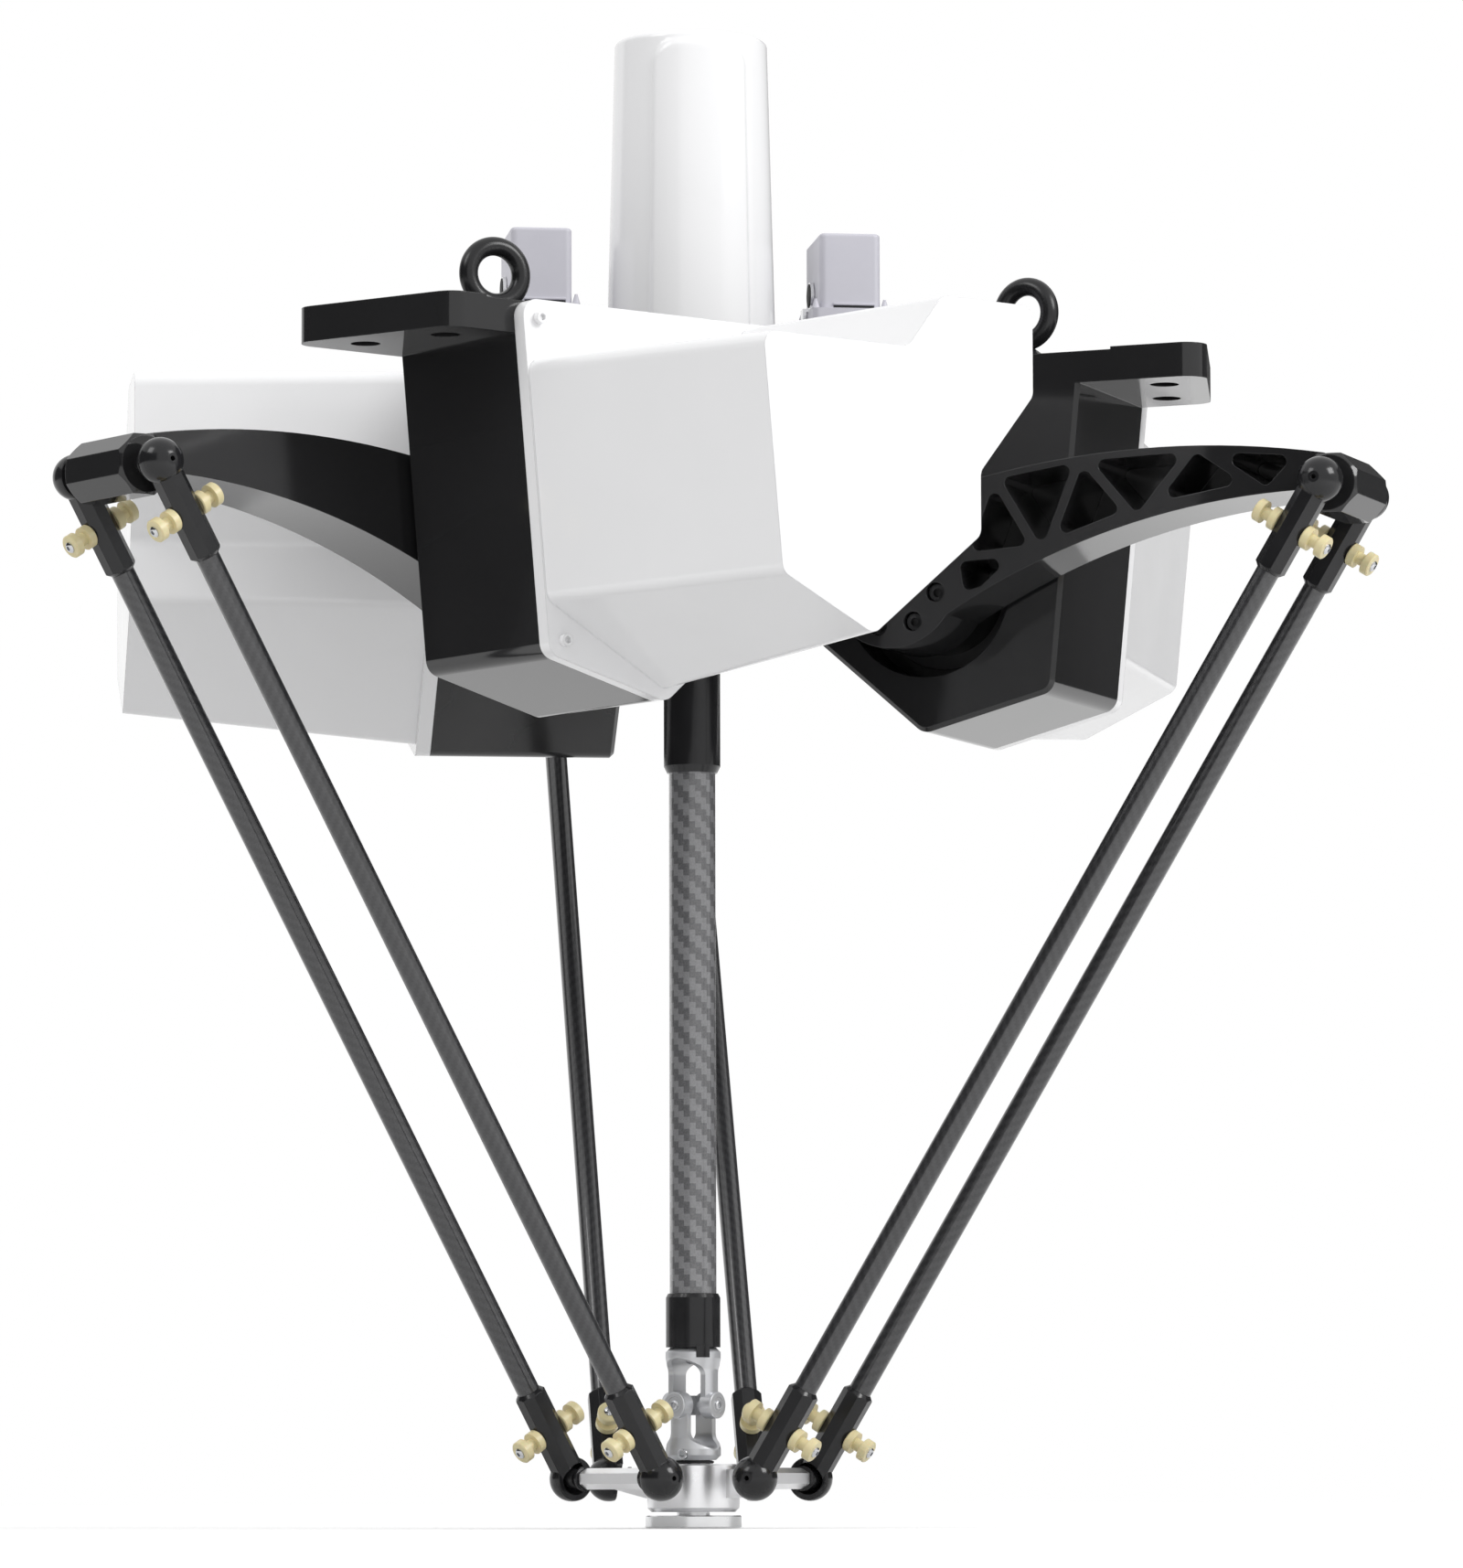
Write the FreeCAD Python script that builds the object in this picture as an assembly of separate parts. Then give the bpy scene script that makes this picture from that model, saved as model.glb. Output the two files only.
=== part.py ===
import FreeCAD, Part
import math
import os
from FreeCAD import Placement, Rotation, Vector

os.makedirs("parts", exist_ok=True)

# Ceiling-mounted parallel robot, in millimetres, +Z up.
# The origin is on the robot's axis, in the plane of the mounting pads on the three ears.
# A leg is drawn in its own frame: X radial, Y tangential, Z up. It is then turned to its azimuth.

# Linkage
LEGS = 3
FIRST_AZIMUTH = 90.0
SHOULDER_R = 170.0
SHOULDER_DROP = 171.0
ARM_LENGTH = 335.0
ARM_REST = 9.0
FOREARM_LENGTH = 820.0
WRIST_R = 70.0
ROD_SPREAD = 53.5
WRIST_TO_FACE = 35.5

# Leg housing, with its ear for mounting
HOUSING_NEAR = 38.0
HOUSING_FAR = 177.0
HOUSING_TOP_R = 291.0
HOUSING_FOOT_R = 267.0
HOUSING_FOOT_Z = -249.0
HOUSING_KEEL_R = 166.0
HOUSING_KEEL_Z = -276.0
HOUSING_WAIST_R = 55.0
HOUSING_WAIST_Z = -180.0
HOUSING_WAIST_RISE = 51.0
HOUSING_THROAT_Z = -73.0
HOUSING_INNER_R = 8.0
HOUSING_ROUND = 12.0
HOUSING_EDGE = 3.0
EAR_REACH = 380.0
EAR_AZIMUTH = 17.5
EAR_THICK = 23.0
EAR_ROUND = 16.0
PAD_LIFT = 2.0
PAD_START_R = 313.0
MOUNT_HOLE_R = 10.5
MOUNT_CIRCLE_R = 350.0
MOUNT_AZIMUTHS = (12.0, 23.5)

# Shoulder drive
POCKET_R = 64.0
POCKET_DEPTH = 42.0
GEARBOX_R = 54.0
GEARBOX_FIT = 0.05
GEARBOX_FLANGE_R = 62.0
GEARBOX_FLANGE_THICK = 9.0
OUTPUT_R = 44.0
OUTPUT_GAP = 0.4
MOTOR_SIDE = 86.0
MOTOR_LENGTH = 150.0
MOTOR_ENCODER_SIDE = 64.0
MOTOR_ENCODER_LENGTH = 28.0
MOTOR_CORNER = 8.0

# Motor cover
COVER_FLANGE = 11.0
COVER_LENGTH = 231.0
COVER_WALL = 3.5
COVER_ROUND = 10.0
COVER_TOP_DROP = 3.0
COVER_SHOULDER_DROP = 41.0
COVER_TIP_Z = -211.0
COVER_FACE_INSET = 0.5
COVER_INNER_INSET = 6.5
COVER_KEEL_LIFT = 7.0
COVER_RIDGE_R = 95.0
COVER_SHOULDER_R = 125.0
END_DRAFT = 36.0
END_KEEL_SHIFT = 10.0
END_KEEL_LIFT = 21.0
END_TOP_DROP = 5.0
COVER_SCREW_R = 4.5
COVER_SCREW_HEAD = 5.0
COVER_SCREW_SOCKET_R = 2.2
COVER_SCREW_INSET = 13.0

# Arm
ARM_HALF = 33.0
ARM_HUB_R = 50.0
ARM_CROWN = 59.0
ARM_CROWN_AT = 141.0
ARM_TOP_END = 22.0
ARM_BELLY = 0.5
ARM_BELLY_AT = 170.0
ARM_FOOT_END = -4.0
ARM_WEB = 7.0
ARM_TOP_RIM = 4.0
ARM_FOOT_RIM = 11.0
ARM_RIB = 7.0
ARM_POCKET_ROUND = 5.0
ARM_ROOT_LIFT = -3.0
ARM_SIDE_POCKET = ((53.0, 2.0), (53.0, -20.0), (66.0, -19.0), (92.0, -3.0))
ARM_TRUSS = (0.155, 0.263, 0.346, 0.466, 0.567, 0.722, 0.862, 0.96)
ARM_BOLT_CIRCLE_R = 35.0
ARM_BOLTS = 8
ARM_BOLT_R = 4.5
ARM_BOLT_HEAD_R = 7.0
ARM_BOLT_SINK = 12.0
ARM_EYE_R = 16.0
ELBOW_FLATS = 42.0
ELBOW_HALF = 36.0
ELBOW_CHAMFER = 3.0

# Forearms and their ball joints
BALL_R = 8.0
STUD_NECK_R = 5.0
STUD_COLLAR_R = 9.0
STUD_COLLAR = 3.0
CUP_R = 16.3
CUP_FIT = 0.3
CUP_OPEN_FIT = 4.6
CUP_MOUTH = 5.0
CUP_VENT_R = 1.8
CUP_CAP_R = 4.0
CUP_LIP = 0.8
SHANK_FLATS = 21.5
SHANK_END = 75.0
SHANK_CHAMFER = 3.5
TUBE_R = 8.4
TUBE_WALL = 1.6
TUBE_GRIP = 35.0
SPOOL_AT = 40.0
SPOOL_R = 8.5
SPOOL_RIM = 6.0
SPOOL_CORE_R = 4.6
SPOOL_CORE = 7.0
SPOOL_EDGE = 0.8

# Platform
HUB_R = 33.5
HUB_BORE_R = 18.0
HUB_ABOVE_FACE = 11.5
HUB_HEIGHT = 34.5
HUB_LIP = 3.0
BAR_FLATS = 13.3
BAR_HALF = 37.0
BAR_CHAMFER = 2.0
SPOKE_HALF = 13.0
SPOKE_TIP_HALF = 17.0
SPOKE_THICK = 13.3
SPOKE_ROOT_DROP = 14.0

# Tool shaft
TOOL_FACE_R = 35.0
TOOL_FACE_THICK = 9.0
TOOL_BORE_R = 8.0
TOOL_BORE_DEPTH = 6.0
TOOL_BOLT_CIRCLE_R = 25.0
TOOL_BOLTS = 4
TOOL_BOLT_R = 3.0
TOOL_STEM_R = 12.0
RUNNING_FIT = 0.05
JOINT_ABOVE_FACE = 88.5
JOINT_TURN = 45.0
YOKE_R = 20.0
YOKE_TAPER = 3.5
YOKE_EAR_R = 18.5
YOKE_EAR_THICK = 6.0
YOKE_EYE_R = 9.7
YOKE_EYE_REACH = 22.0
YOKE_WAIST = 7.5
YOKE_SLOPE = 8.0
YOKE_BASE = 8.0
YOKE_START = 49.0
YOKE_PLAY = 3.0
CROSS_PIN_R = 4.5
CROSS_BODY = 14.0
COLLAR_BOTTOM = 130.5
COLLAR_LENGTH = 39.0
COLLAR_R = 19.8
COLLAR_CHAMFER = 3.0
CARBON_R = 17.0
CARBON_WALL = 2.0
SLEEVE_BELOW_FORK = 21.9
SLEEVE_LENGTH = 150.0
SLEEVE_GRIP = 50.5
SLEEVE_R = 20.7
SLEEVE_CHAMFER = 5.0
SPLINE_R = 10.0
SPLINE_GROOVE_R = 1.6
SPLINE_GROOVES = 3
SPLINE_BELOW_SLEEVE = 124.5

# Central hub and the drive of the tool shaft
PLATE_R = 172.0
PLATE_THICK = 8.0
PLATE_FLAT_R = 158.0
BOSS_R = 36.0
BOSS_LENGTH = 60.0
BOSS_BORE_R = 26.0
BEARING_LENGTH = 40.0
DRIVE_JOINT_DROP = 98.0
DRIVE_SHAFT_TOP = 22.0
TOWER_R = 62.3
TOWER_TOP_R = 56.2
TOWER_TOP = 239.0
TOWER_WALL = 6.0
TOWER_ROUND = 4.0
PANEL_RISE = 2.4
PANEL_HALF = 33.5
PANEL_TOP_HALF = 30.5
PANEL_BELOW_TOP = 10.0
PANEL_ROUND = 14.0
SPIN_MOTOR_R = 42.0
SPIN_MOTOR_LENGTH = 190.0
SPIN_MOTOR_NECK_R = 24.0
SPIN_MOTOR_NECK = 14.0

# Eye bolts
EYE_X = 234.0
EYE_Y = 77.0
EYE_RING_R = 20.25
EYE_WIRE_R = 6.75
EYE_RISE = 36.0
EYE_FOOT_R = 14.0
EYE_FOOT = 9.0
EYE_TURN = 78.0

# Connectors
PLUG_X = 114.0
PLUG_Y = 6.0
PLUG_BASE_WIDTH = 56.0
PLUG_BASE_DEPTH = 80.0
PLUG_BASE_HEIGHT = 33.0
PLUG_FOOT_WIDTH = 66.0
PLUG_FOOT = 5.0
PLUG_WIDTH = 45.0
PLUG_DEPTH = 73.0
PLUG_HEIGHT = 56.0
PLUG_ROUND = 5.0
PLUG_PIN_R = 3.0
PLUG_PIN_RISE = 7.0
LEVER_THICK = 2.5
LEVER_WIDTH = 12.0
LEVER_PIVOT_R = 10.0
LEVER_PIVOT_RISE = 14.5
LEVER_GAP = 0.4
LEVER_PLAY = 1.6
LEVER_HOOK = 14.0
LEVER_PIN_R = 3.0

# Values that follow
SHELF_Z = -PAD_LIFT
SHOULDER_Z = -SHOULDER_DROP
ELBOW_X = SHOULDER_R + ARM_LENGTH * math.cos(math.radians(ARM_REST))
ELBOW_Z = SHOULDER_Z + ARM_LENGTH * math.sin(math.radians(ARM_REST))
ROD_REACH = ELBOW_X - WRIST_R
ROD_DROP = math.sqrt(FOREARM_LENGTH ** 2 - ROD_REACH ** 2)
WRIST_Z = ELBOW_Z - ROD_DROP
FACE_Z = WRIST_Z - WRIST_TO_FACE
ROD_PITCH = math.degrees(math.atan2(ROD_DROP, -ROD_REACH))
DRIVE_JOINT_Z = SHELF_Z - DRIVE_JOINT_DROP
DRIVE_YOKE_SPAN = YOKE_BASE + YOKE_PLAY + 2 * YOKE_EYE_R
FORK_Z = DRIVE_JOINT_Z - DRIVE_YOKE_SPAN
SLEEVE_TOP_Z = FORK_Z - SLEEVE_BELOW_FORK
SLEEVE_FOOT_Z = SLEEVE_TOP_Z - SLEEVE_LENGTH
CARBON_TOP_Z = SLEEVE_FOOT_Z + SLEEVE_GRIP
SPLINE_FOOT_Z = SLEEVE_FOOT_Z - SPLINE_BELOW_SLEEVE
AXIS = Vector(0, 0, 1)
ORIGIN = Vector(0, 0, 0)


def on_plan(height):
    """Maps an outline's points onto the level plane at a height."""
    return lambda x, y: Vector(x, y, height)


def on_side(tangential):
    """Maps an outline's points onto the leg's radial plane, moved sideways."""
    return lambda x, z: Vector(x, tangential, z)


def outline(points, radius, place):
    """A closed wire through points, with each corner rounded by a tangent arc."""
    corners = [Vector(p[0], p[1], 0) for p in points]
    radii = radius if isinstance(radius, (list, tuple)) else [radius] * len(corners)
    joints = []
    for k, corner in enumerate(corners):
        before = (corners[k - 1] - corner).normalize()
        after = (corners[(k + 1) % len(corners)] - corner).normalize()
        if radii[k] <= 0:
            joints.append((corner, None, corner))
            continue
        half = before.getAngle(after) / 2
        run = radii[k] / math.tan(half)
        bisector = (before + after).normalize()
        centre = corner + bisector * (radii[k] / math.sin(half))
        middle = centre - bisector * radii[k]
        joints.append((corner + before * run, middle, corner + after * run))
    edges = []
    for k, (start, middle, end) in enumerate(joints):
        if middle is not None:
            arc = [place(p.x, p.y) for p in (start, middle, end)]
            edges.append(Part.Arc(*arc).toShape())
        following = joints[(k + 1) % len(joints)][0]
        edges.append(Part.makeLine(place(end.x, end.y), place(following.x, following.y)))
    return Part.Wire(edges)


def inset(points, distances):
    """Moves each side of a counter-clockwise polygon inward by its own distance."""
    count = len(points)
    lines = []
    for k in range(count):
        x0, y0 = points[k]
        x1, y1 = points[(k + 1) % count]
        length = math.hypot(x1 - x0, y1 - y0)
        nx, ny = -(y1 - y0) / length, (x1 - x0) / length
        lines.append((nx, ny, nx * x0 + ny * y0 + distances[k]))
    moved = []
    for k in range(count):
        a, b, c = lines[k - 1]
        d, e, f = lines[k]
        scale = a * e - b * d
        moved.append(((c * e - b * f) / scale, (a * f - c * d) / scale))
    return moved


def slab(points, radius, place, depth):
    """An outline drawn out by a depth vector."""
    return Part.Face(outline(points, radius, place)).extrude(depth)


def turned(profile):
    """A solid of revolution about Z from (radius, height) points."""
    points = [Vector(r, 0, z) for r, z in profile]
    face = Part.Face(Part.makePolygon(points + points[:1]))
    return face.revolve(ORIGIN, AXIS, 360)


def rod(radius, start, end):
    """A round bar from one point to another."""
    return Part.makeCylinder(radius, (end - start).Length, start, end - start)


def polygon_bar(flats, sides, length, chamfer):
    """A bar of regular section about Z from 0 up to length, with both ends chamfered."""
    corner_r = flats / 2 / math.cos(math.pi / sides)
    step = 2 * math.pi / sides
    ring = [(corner_r * math.cos(step * (k + 0.5)), corner_r * math.sin(step * (k + 0.5)))
            for k in range(sides)]
    bar = slab(ring, 0, on_plan(0), AXIS * length)
    if chamfer > 0:
        core = turned([(0, 0), (corner_r - chamfer, 0), (corner_r, chamfer),
                       (corner_r, length - chamfer), (corner_r - chamfer, length), (0, length)])
        bar = bar.common(core)
    return bar


def aimed(shape, start, direction):
    """Turns a shape that stands along Z to a direction, and moves it to start."""
    shape = shape.copy()
    shape.Placement = Placement(start, Rotation(AXIS, direction))
    return shape


def fuse(shapes):
    """Joins touching solids into one and clears the seams."""
    return shapes[0].multiFuse(shapes[1:]).removeSplitter()


def leg_azimuth(leg):
    return FIRST_AZIMUTH + leg * 360.0 / LEGS


def to_leg(shape, leg):
    """Turns a shape from the leg's frame to the leg's azimuth."""
    turned_shape = shape.copy()
    turned_shape.rotate(ORIGIN, AXIS, leg_azimuth(leg))
    return turned_shape


def save(node, shapes):
    """Writes one node, which may be a group of separate solids."""
    solids = []
    for shape in shapes if isinstance(shapes, list) else [shapes]:
        solids += shape.Solids
    if len(solids) > 1:
        shape = Part.Compound(solids)
    else:
        shape = solids[0]
    if not shape.isValid():
        raise ValueError(node + " is not valid")
    shape.exportStep("parts/" + node + ".step")
    print(node, len(solids), round(shape.Volume / 1000, 1), "cm3")


def polar(radius, degrees):
    angle = math.radians(degrees)
    return radius * math.cos(angle), radius * math.sin(angle)


# Leg housing
def housing_profile():
    """Section across the housing: radial distance and height, counter-clockwise."""
    waist_top = HOUSING_WAIST_Z + HOUSING_WAIST_RISE
    return [(HOUSING_INNER_R, SHELF_Z), (HOUSING_INNER_R, HOUSING_THROAT_Z),
            (HOUSING_WAIST_R, waist_top), (HOUSING_WAIST_R, HOUSING_WAIST_Z),
            (HOUSING_KEEL_R, HOUSING_KEEL_Z), (HOUSING_FOOT_R, HOUSING_FOOT_Z),
            (HOUSING_TOP_R, SHELF_Z)]


def housing_face_r(height):
    """Radial distance of the housing's sloping outer face at a height."""
    share = (SHELF_Z - height) / (SHELF_Z - HOUSING_FOOT_Z)
    return HOUSING_TOP_R - share * (HOUSING_TOP_R - HOUSING_FOOT_R)


def ear_outline(start_r):
    """Plan of the ear: its outer edge is square to the ear's own azimuth."""
    angle = math.radians(EAR_AZIMUTH)
    near = (EAR_REACH - HOUSING_NEAR * math.sin(angle)) / math.cos(angle)
    far = (EAR_REACH - HOUSING_FAR * math.sin(angle)) / math.cos(angle)
    return [(start_r, HOUSING_NEAR), (near, HOUSING_NEAR), (far, HOUSING_FAR),
            (start_r, HOUSING_FAR)]


def leg_housing():
    width = HOUSING_FAR - HOUSING_NEAR
    rounds = [0, 0, HOUSING_ROUND, HOUSING_ROUND, HOUSING_ROUND, HOUSING_ROUND, 0]
    body = slab(housing_profile(), rounds, on_side(HOUSING_NEAR), Vector(0, width, 0))
    ear_rounds = [0, EAR_ROUND, EAR_ROUND, 0]
    ear = slab(ear_outline(HOUSING_KEEL_R), ear_rounds, on_plan(SHELF_Z - EAR_THICK), AXIS * EAR_THICK)
    pad = slab(ear_outline(PAD_START_R), ear_rounds, on_plan(SHELF_Z), AXIS * PAD_LIFT)
    body = fuse([body, ear, pad])
    near_edges = [edge for edge in body.Edges
                  if edge.BoundBox.YMax < HOUSING_NEAR + HOUSING_EDGE / 2
                  and edge.BoundBox.ZMax < SHELF_Z - EAR_THICK + HOUSING_EDGE
                  and edge.BoundBox.XMin > HOUSING_WAIST_R - HOUSING_EDGE
                  and edge.BoundBox.ZMin < SHELF_Z - EAR_THICK - HOUSING_EDGE]
    body = body.makeChamfer(HOUSING_EDGE, near_edges)
    for azimuth in MOUNT_AZIMUTHS:
        x, y = polar(MOUNT_CIRCLE_R, azimuth)
        body = body.cut(rod(MOUNT_HOLE_R, Vector(x, y, SHELF_Z - EAR_THICK - PAD_LIFT),
                            Vector(x, y, PAD_LIFT)))
    near = Vector(SHOULDER_R, HOUSING_NEAR - HOUSING_EDGE, SHOULDER_Z)
    pocket_end = Vector(SHOULDER_R, HOUSING_NEAR + POCKET_DEPTH, SHOULDER_Z)
    far = Vector(SHOULDER_R, HOUSING_FAR + HOUSING_EDGE, SHOULDER_Z)
    flange_seat = Vector(SHOULDER_R, HOUSING_FAR - GEARBOX_FLANGE_THICK, SHOULDER_Z)
    body = body.cut(rod(POCKET_R, near, pocket_end))
    body = body.cut(rod(GEARBOX_R + GEARBOX_FIT, near, far))
    body = body.cut(rod(GEARBOX_FLANGE_R + GEARBOX_FIT, flange_seat, far))
    return body


# Shoulder drive, inside the housing and its cover
def gearbox():
    front = Vector(SHOULDER_R, HOUSING_NEAR + POCKET_DEPTH, SHOULDER_Z)
    seat = Vector(SHOULDER_R, HOUSING_FAR - GEARBOX_FLANGE_THICK, SHOULDER_Z)
    back = Vector(SHOULDER_R, HOUSING_FAR, SHOULDER_Z)
    return fuse([rod(GEARBOX_R, front, back), rod(GEARBOX_FLANGE_R, seat, back)])


def output_flange():
    """The gearbox's turning output, which fills the gap from the gearbox to the arm."""
    start = Vector(SHOULDER_R, ARM_HALF, SHOULDER_Z)
    end = Vector(SHOULDER_R, HOUSING_NEAR + POCKET_DEPTH - OUTPUT_GAP, SHOULDER_Z)
    return rod(OUTPUT_R, start, end)


def square_block(side, corner, start_y, length):
    half = side / 2
    corners = [(SHOULDER_R - half, SHOULDER_Z - half), (SHOULDER_R + half, SHOULDER_Z - half),
               (SHOULDER_R + half, SHOULDER_Z + half), (SHOULDER_R - half, SHOULDER_Z + half)]
    return slab(corners, corner, on_side(start_y), Vector(0, length, 0))


def servo_motor():
    body = square_block(MOTOR_SIDE, MOTOR_CORNER, HOUSING_FAR, MOTOR_LENGTH)
    encoder = square_block(MOTOR_ENCODER_SIDE, MOTOR_CORNER, HOUSING_FAR + MOTOR_LENGTH,
                           MOTOR_ENCODER_LENGTH)
    return fuse([body, encoder])


# Motor cover
def cover_root():
    """Section of the cover's body where it meets its flange."""
    waist = HOUSING_WAIST_R + COVER_INNER_INSET
    inner = HOUSING_INNER_R + COVER_INNER_INSET
    top = SHELF_Z - COVER_TOP_DROP
    shoulder = SHELF_Z - COVER_SHOULDER_DROP
    return [(inner, top), (inner, HOUSING_THROAT_Z),
            (waist, HOUSING_WAIST_Z + HOUSING_WAIST_RISE),
            (waist, HOUSING_WAIST_Z + COVER_KEEL_LIFT),
            (HOUSING_KEEL_R, HOUSING_KEEL_Z + COVER_KEEL_LIFT),
            (housing_face_r(COVER_TIP_Z) - COVER_FACE_INSET, COVER_TIP_Z),
            (housing_face_r(shoulder) - COVER_FACE_INSET, shoulder),
            (COVER_SHOULDER_R, shoulder), (COVER_RIDGE_R, top)]


def cover_end():
    """Section of the cover's body at its far end, drawn in by its draft."""
    shifts = [(0, -END_TOP_DROP), (0, 0), (0, 0), (0, 0), (-END_KEEL_SHIFT, END_KEEL_LIFT),
              (-END_DRAFT, 0), (-END_DRAFT, -END_TOP_DROP), (0, -END_TOP_DROP),
              (0, -END_TOP_DROP)]
    return [(p[0] + s[0], p[1] + s[1]) for p, s in zip(cover_root(), shifts)]


def cover_loft(root, end, radius, start_y, end_y):
    sections = [outline(root, radius, on_side(start_y)), outline(end, radius, on_side(end_y))]
    return Part.makeLoft(sections, True, True)


def cover_screw_places():
    """Screw centres in the flange's two outer corners, radial distance and height."""
    profile = housing_profile()
    return inset(profile, [COVER_SCREW_INSET] * len(profile))[-2:]


def motor_cover():
    flange_rounds = [HOUSING_EDGE, HOUSING_EDGE] + [HOUSING_ROUND] * 5
    flange = slab(housing_profile(), flange_rounds, on_side(HOUSING_FAR),
                  Vector(0, COVER_FLANGE, 0))
    body_start = HOUSING_FAR + COVER_FLANGE / 2
    body_end = HOUSING_FAR + COVER_LENGTH
    body = cover_loft(cover_root(), cover_end(), COVER_ROUND, body_start, body_end)
    count = len(cover_root())
    inner_root = inset(cover_root(), [COVER_WALL] * count)
    inner_end = inset(cover_end(), [COVER_WALL] * count)
    inner_round = COVER_ROUND - COVER_WALL
    hollow = cover_loft(inner_root, inner_end, inner_round, body_start, body_end - COVER_WALL)
    mouth = slab(inner_root, inner_round, on_side(HOUSING_FAR - COVER_FLANGE),
                 Vector(0, COVER_FLANGE * 1.5, 0))
    return fuse([flange, body]).cut(fuse([hollow, mouth]))


def cover_screws():
    """Socket screws of one cover, each with its hexagon socket."""
    seat = HOUSING_FAR + COVER_FLANGE
    screws = []
    for x, z in cover_screw_places():
        head = rod(COVER_SCREW_R, Vector(x, seat, z), Vector(x, seat + COVER_SCREW_HEAD, z))
        socket = polygon_bar(2 * COVER_SCREW_SOCKET_R, 6, COVER_SCREW_HEAD, 0)
        screws.append(head.cut(aimed(socket, Vector(x, seat + COVER_SCREW_HEAD / 2, z),
                                     Vector(0, 1, 0))))
    return screws


# Arm
def arm_place(tangential):
    """Maps arm coordinates (along the arm, across it) to the leg's frame at rest."""
    cosine = math.cos(math.radians(ARM_REST))
    sine = math.sin(math.radians(ARM_REST))
    return lambda x, y: Vector(SHOULDER_R + x * cosine - y * sine, tangential,
                               SHOULDER_Z + x * sine + y * cosine)


def circle_through(a, b, c):
    """Centre and radius of the circle through three points."""
    d = 2 * (a[0] * (b[1] - c[1]) + b[0] * (c[1] - a[1]) + c[0] * (a[1] - b[1]))
    squares = [p[0] ** 2 + p[1] ** 2 for p in (a, b, c)]
    x = (squares[0] * (b[1] - c[1]) + squares[1] * (c[1] - a[1])
         + squares[2] * (a[1] - b[1])) / d
    y = (squares[0] * (c[0] - b[0]) + squares[1] * (a[0] - c[0])
         + squares[2] * (b[0] - a[0])) / d
    return x, y, math.hypot(a[0] - x, a[1] - y)


def arm_top():
    return (0, ARM_HUB_R), (ARM_CROWN_AT, ARM_CROWN), (ARM_LENGTH, ARM_TOP_END)


def arm_foot():
    return (0, -ARM_HUB_R), (ARM_BELLY_AT, ARM_BELLY), (ARM_LENGTH, ARM_FOOT_END)


def height_on(curve, x):
    """Height of an arm edge at a distance along the arm."""
    cx, cy, radius = circle_through(*curve)
    return cy + math.sqrt(radius ** 2 - (x - cx) ** 2)


def truss_pockets():
    """Triangles between the ribs, which zigzag from the top edge to the foot edge."""
    nodes = []
    for k, share in enumerate(ARM_TRUSS):
        x = share * ARM_LENGTH
        if k == 0:
            nodes.append((x, ARM_ROOT_LIFT))
        elif k % 2:
            nodes.append((x, height_on(arm_top(), x)))
        else:
            nodes.append((x, height_on(arm_foot(), x)))
    half_rib = ARM_RIB / 2
    pockets = []
    for k in range(len(nodes) - 2):
        first, middle, last = nodes[k:k + 3]
        if k % 2:
            corners = inset([first, middle, last], [half_rib, half_rib, ARM_TOP_RIM])
        else:
            corners = inset([first, last, middle], [ARM_FOOT_RIM, half_rib, half_rib])
        pockets.append(corners)
    return pockets


def arm():
    place = arm_place(-ARM_HALF)
    width = Vector(0, 2 * ARM_HALF, 0)
    top = [place(*p) for p in arm_top()]
    foot = [place(*p) for p in reversed(arm_foot())]
    edges = [Part.Arc(*top).toShape(), Part.makeLine(top[2], foot[0]),
             Part.Arc(*foot).toShape(), Part.makeLine(foot[2], top[0])]
    girder = Part.Face(Part.Wire(edges)).extrude(width)
    hub = rod(ARM_HUB_R, place(0, 0), place(0, 0) + width)
    elbow = place(ARM_LENGTH, 0)
    elbow.y = -ELBOW_HALF
    block = aimed(polygon_bar(ELBOW_FLATS, 8, 2 * ELBOW_HALF, ELBOW_CHAMFER), elbow,
                  Vector(0, 1, 0))
    body = fuse([girder, hub, block])
    depth = Vector(0, 2 * ARM_HALF - ARM_WEB, 0)
    pockets = truss_pockets() + [ARM_SIDE_POCKET]
    cuts = [slab(corners, ARM_POCKET_ROUND, place, depth) for corners in pockets]
    cuts.append(rod(ARM_EYE_R, place(0, 0), place(0, 0) + depth))
    bolt_depth = width + Vector(0, ARM_WEB, 0)
    for k in range(ARM_BOLTS):
        centre = place(*polar(ARM_BOLT_CIRCLE_R, (k + 0.4) * 360 / ARM_BOLTS))
        cuts.append(rod(ARM_BOLT_R, centre, centre + bolt_depth))
        cuts.append(rod(ARM_BOLT_HEAD_R, centre, centre + Vector(0, ARM_BOLT_SINK, 0)))
    return body.cut(cuts)


# Ball studs, used at the elbow and at the wrist
def ball_stud(seat_y):
    """A stud along +Y: collar on its seat, neck and ball. The ball is centred at the origin."""
    reach = ROD_SPREAD - seat_y
    collar_top = -reach + STUD_COLLAR
    collar = turned([(0, -reach), (STUD_COLLAR_R, -reach), (STUD_COLLAR_R, collar_top - 1),
                     (STUD_COLLAR_R - 1, collar_top), (0, collar_top)])
    neck = rod(STUD_NECK_R, Vector(0, 0, -reach), ORIGIN)
    ball = Part.makeSphere(BALL_R)
    return aimed(fuse([collar, neck, ball]), ORIGIN, Vector(0, 1, 0))


def stud_pair(x, z, seat_y):
    studs = []
    for side in (1, -1):
        stud = ball_stud(seat_y)
        if side < 0:
            stud = stud.mirror(ORIGIN, Vector(0, 1, 0))
        stud.translate(Vector(x, side * ROD_SPREAD, z))
        studs.append(stud)
    return studs


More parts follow.
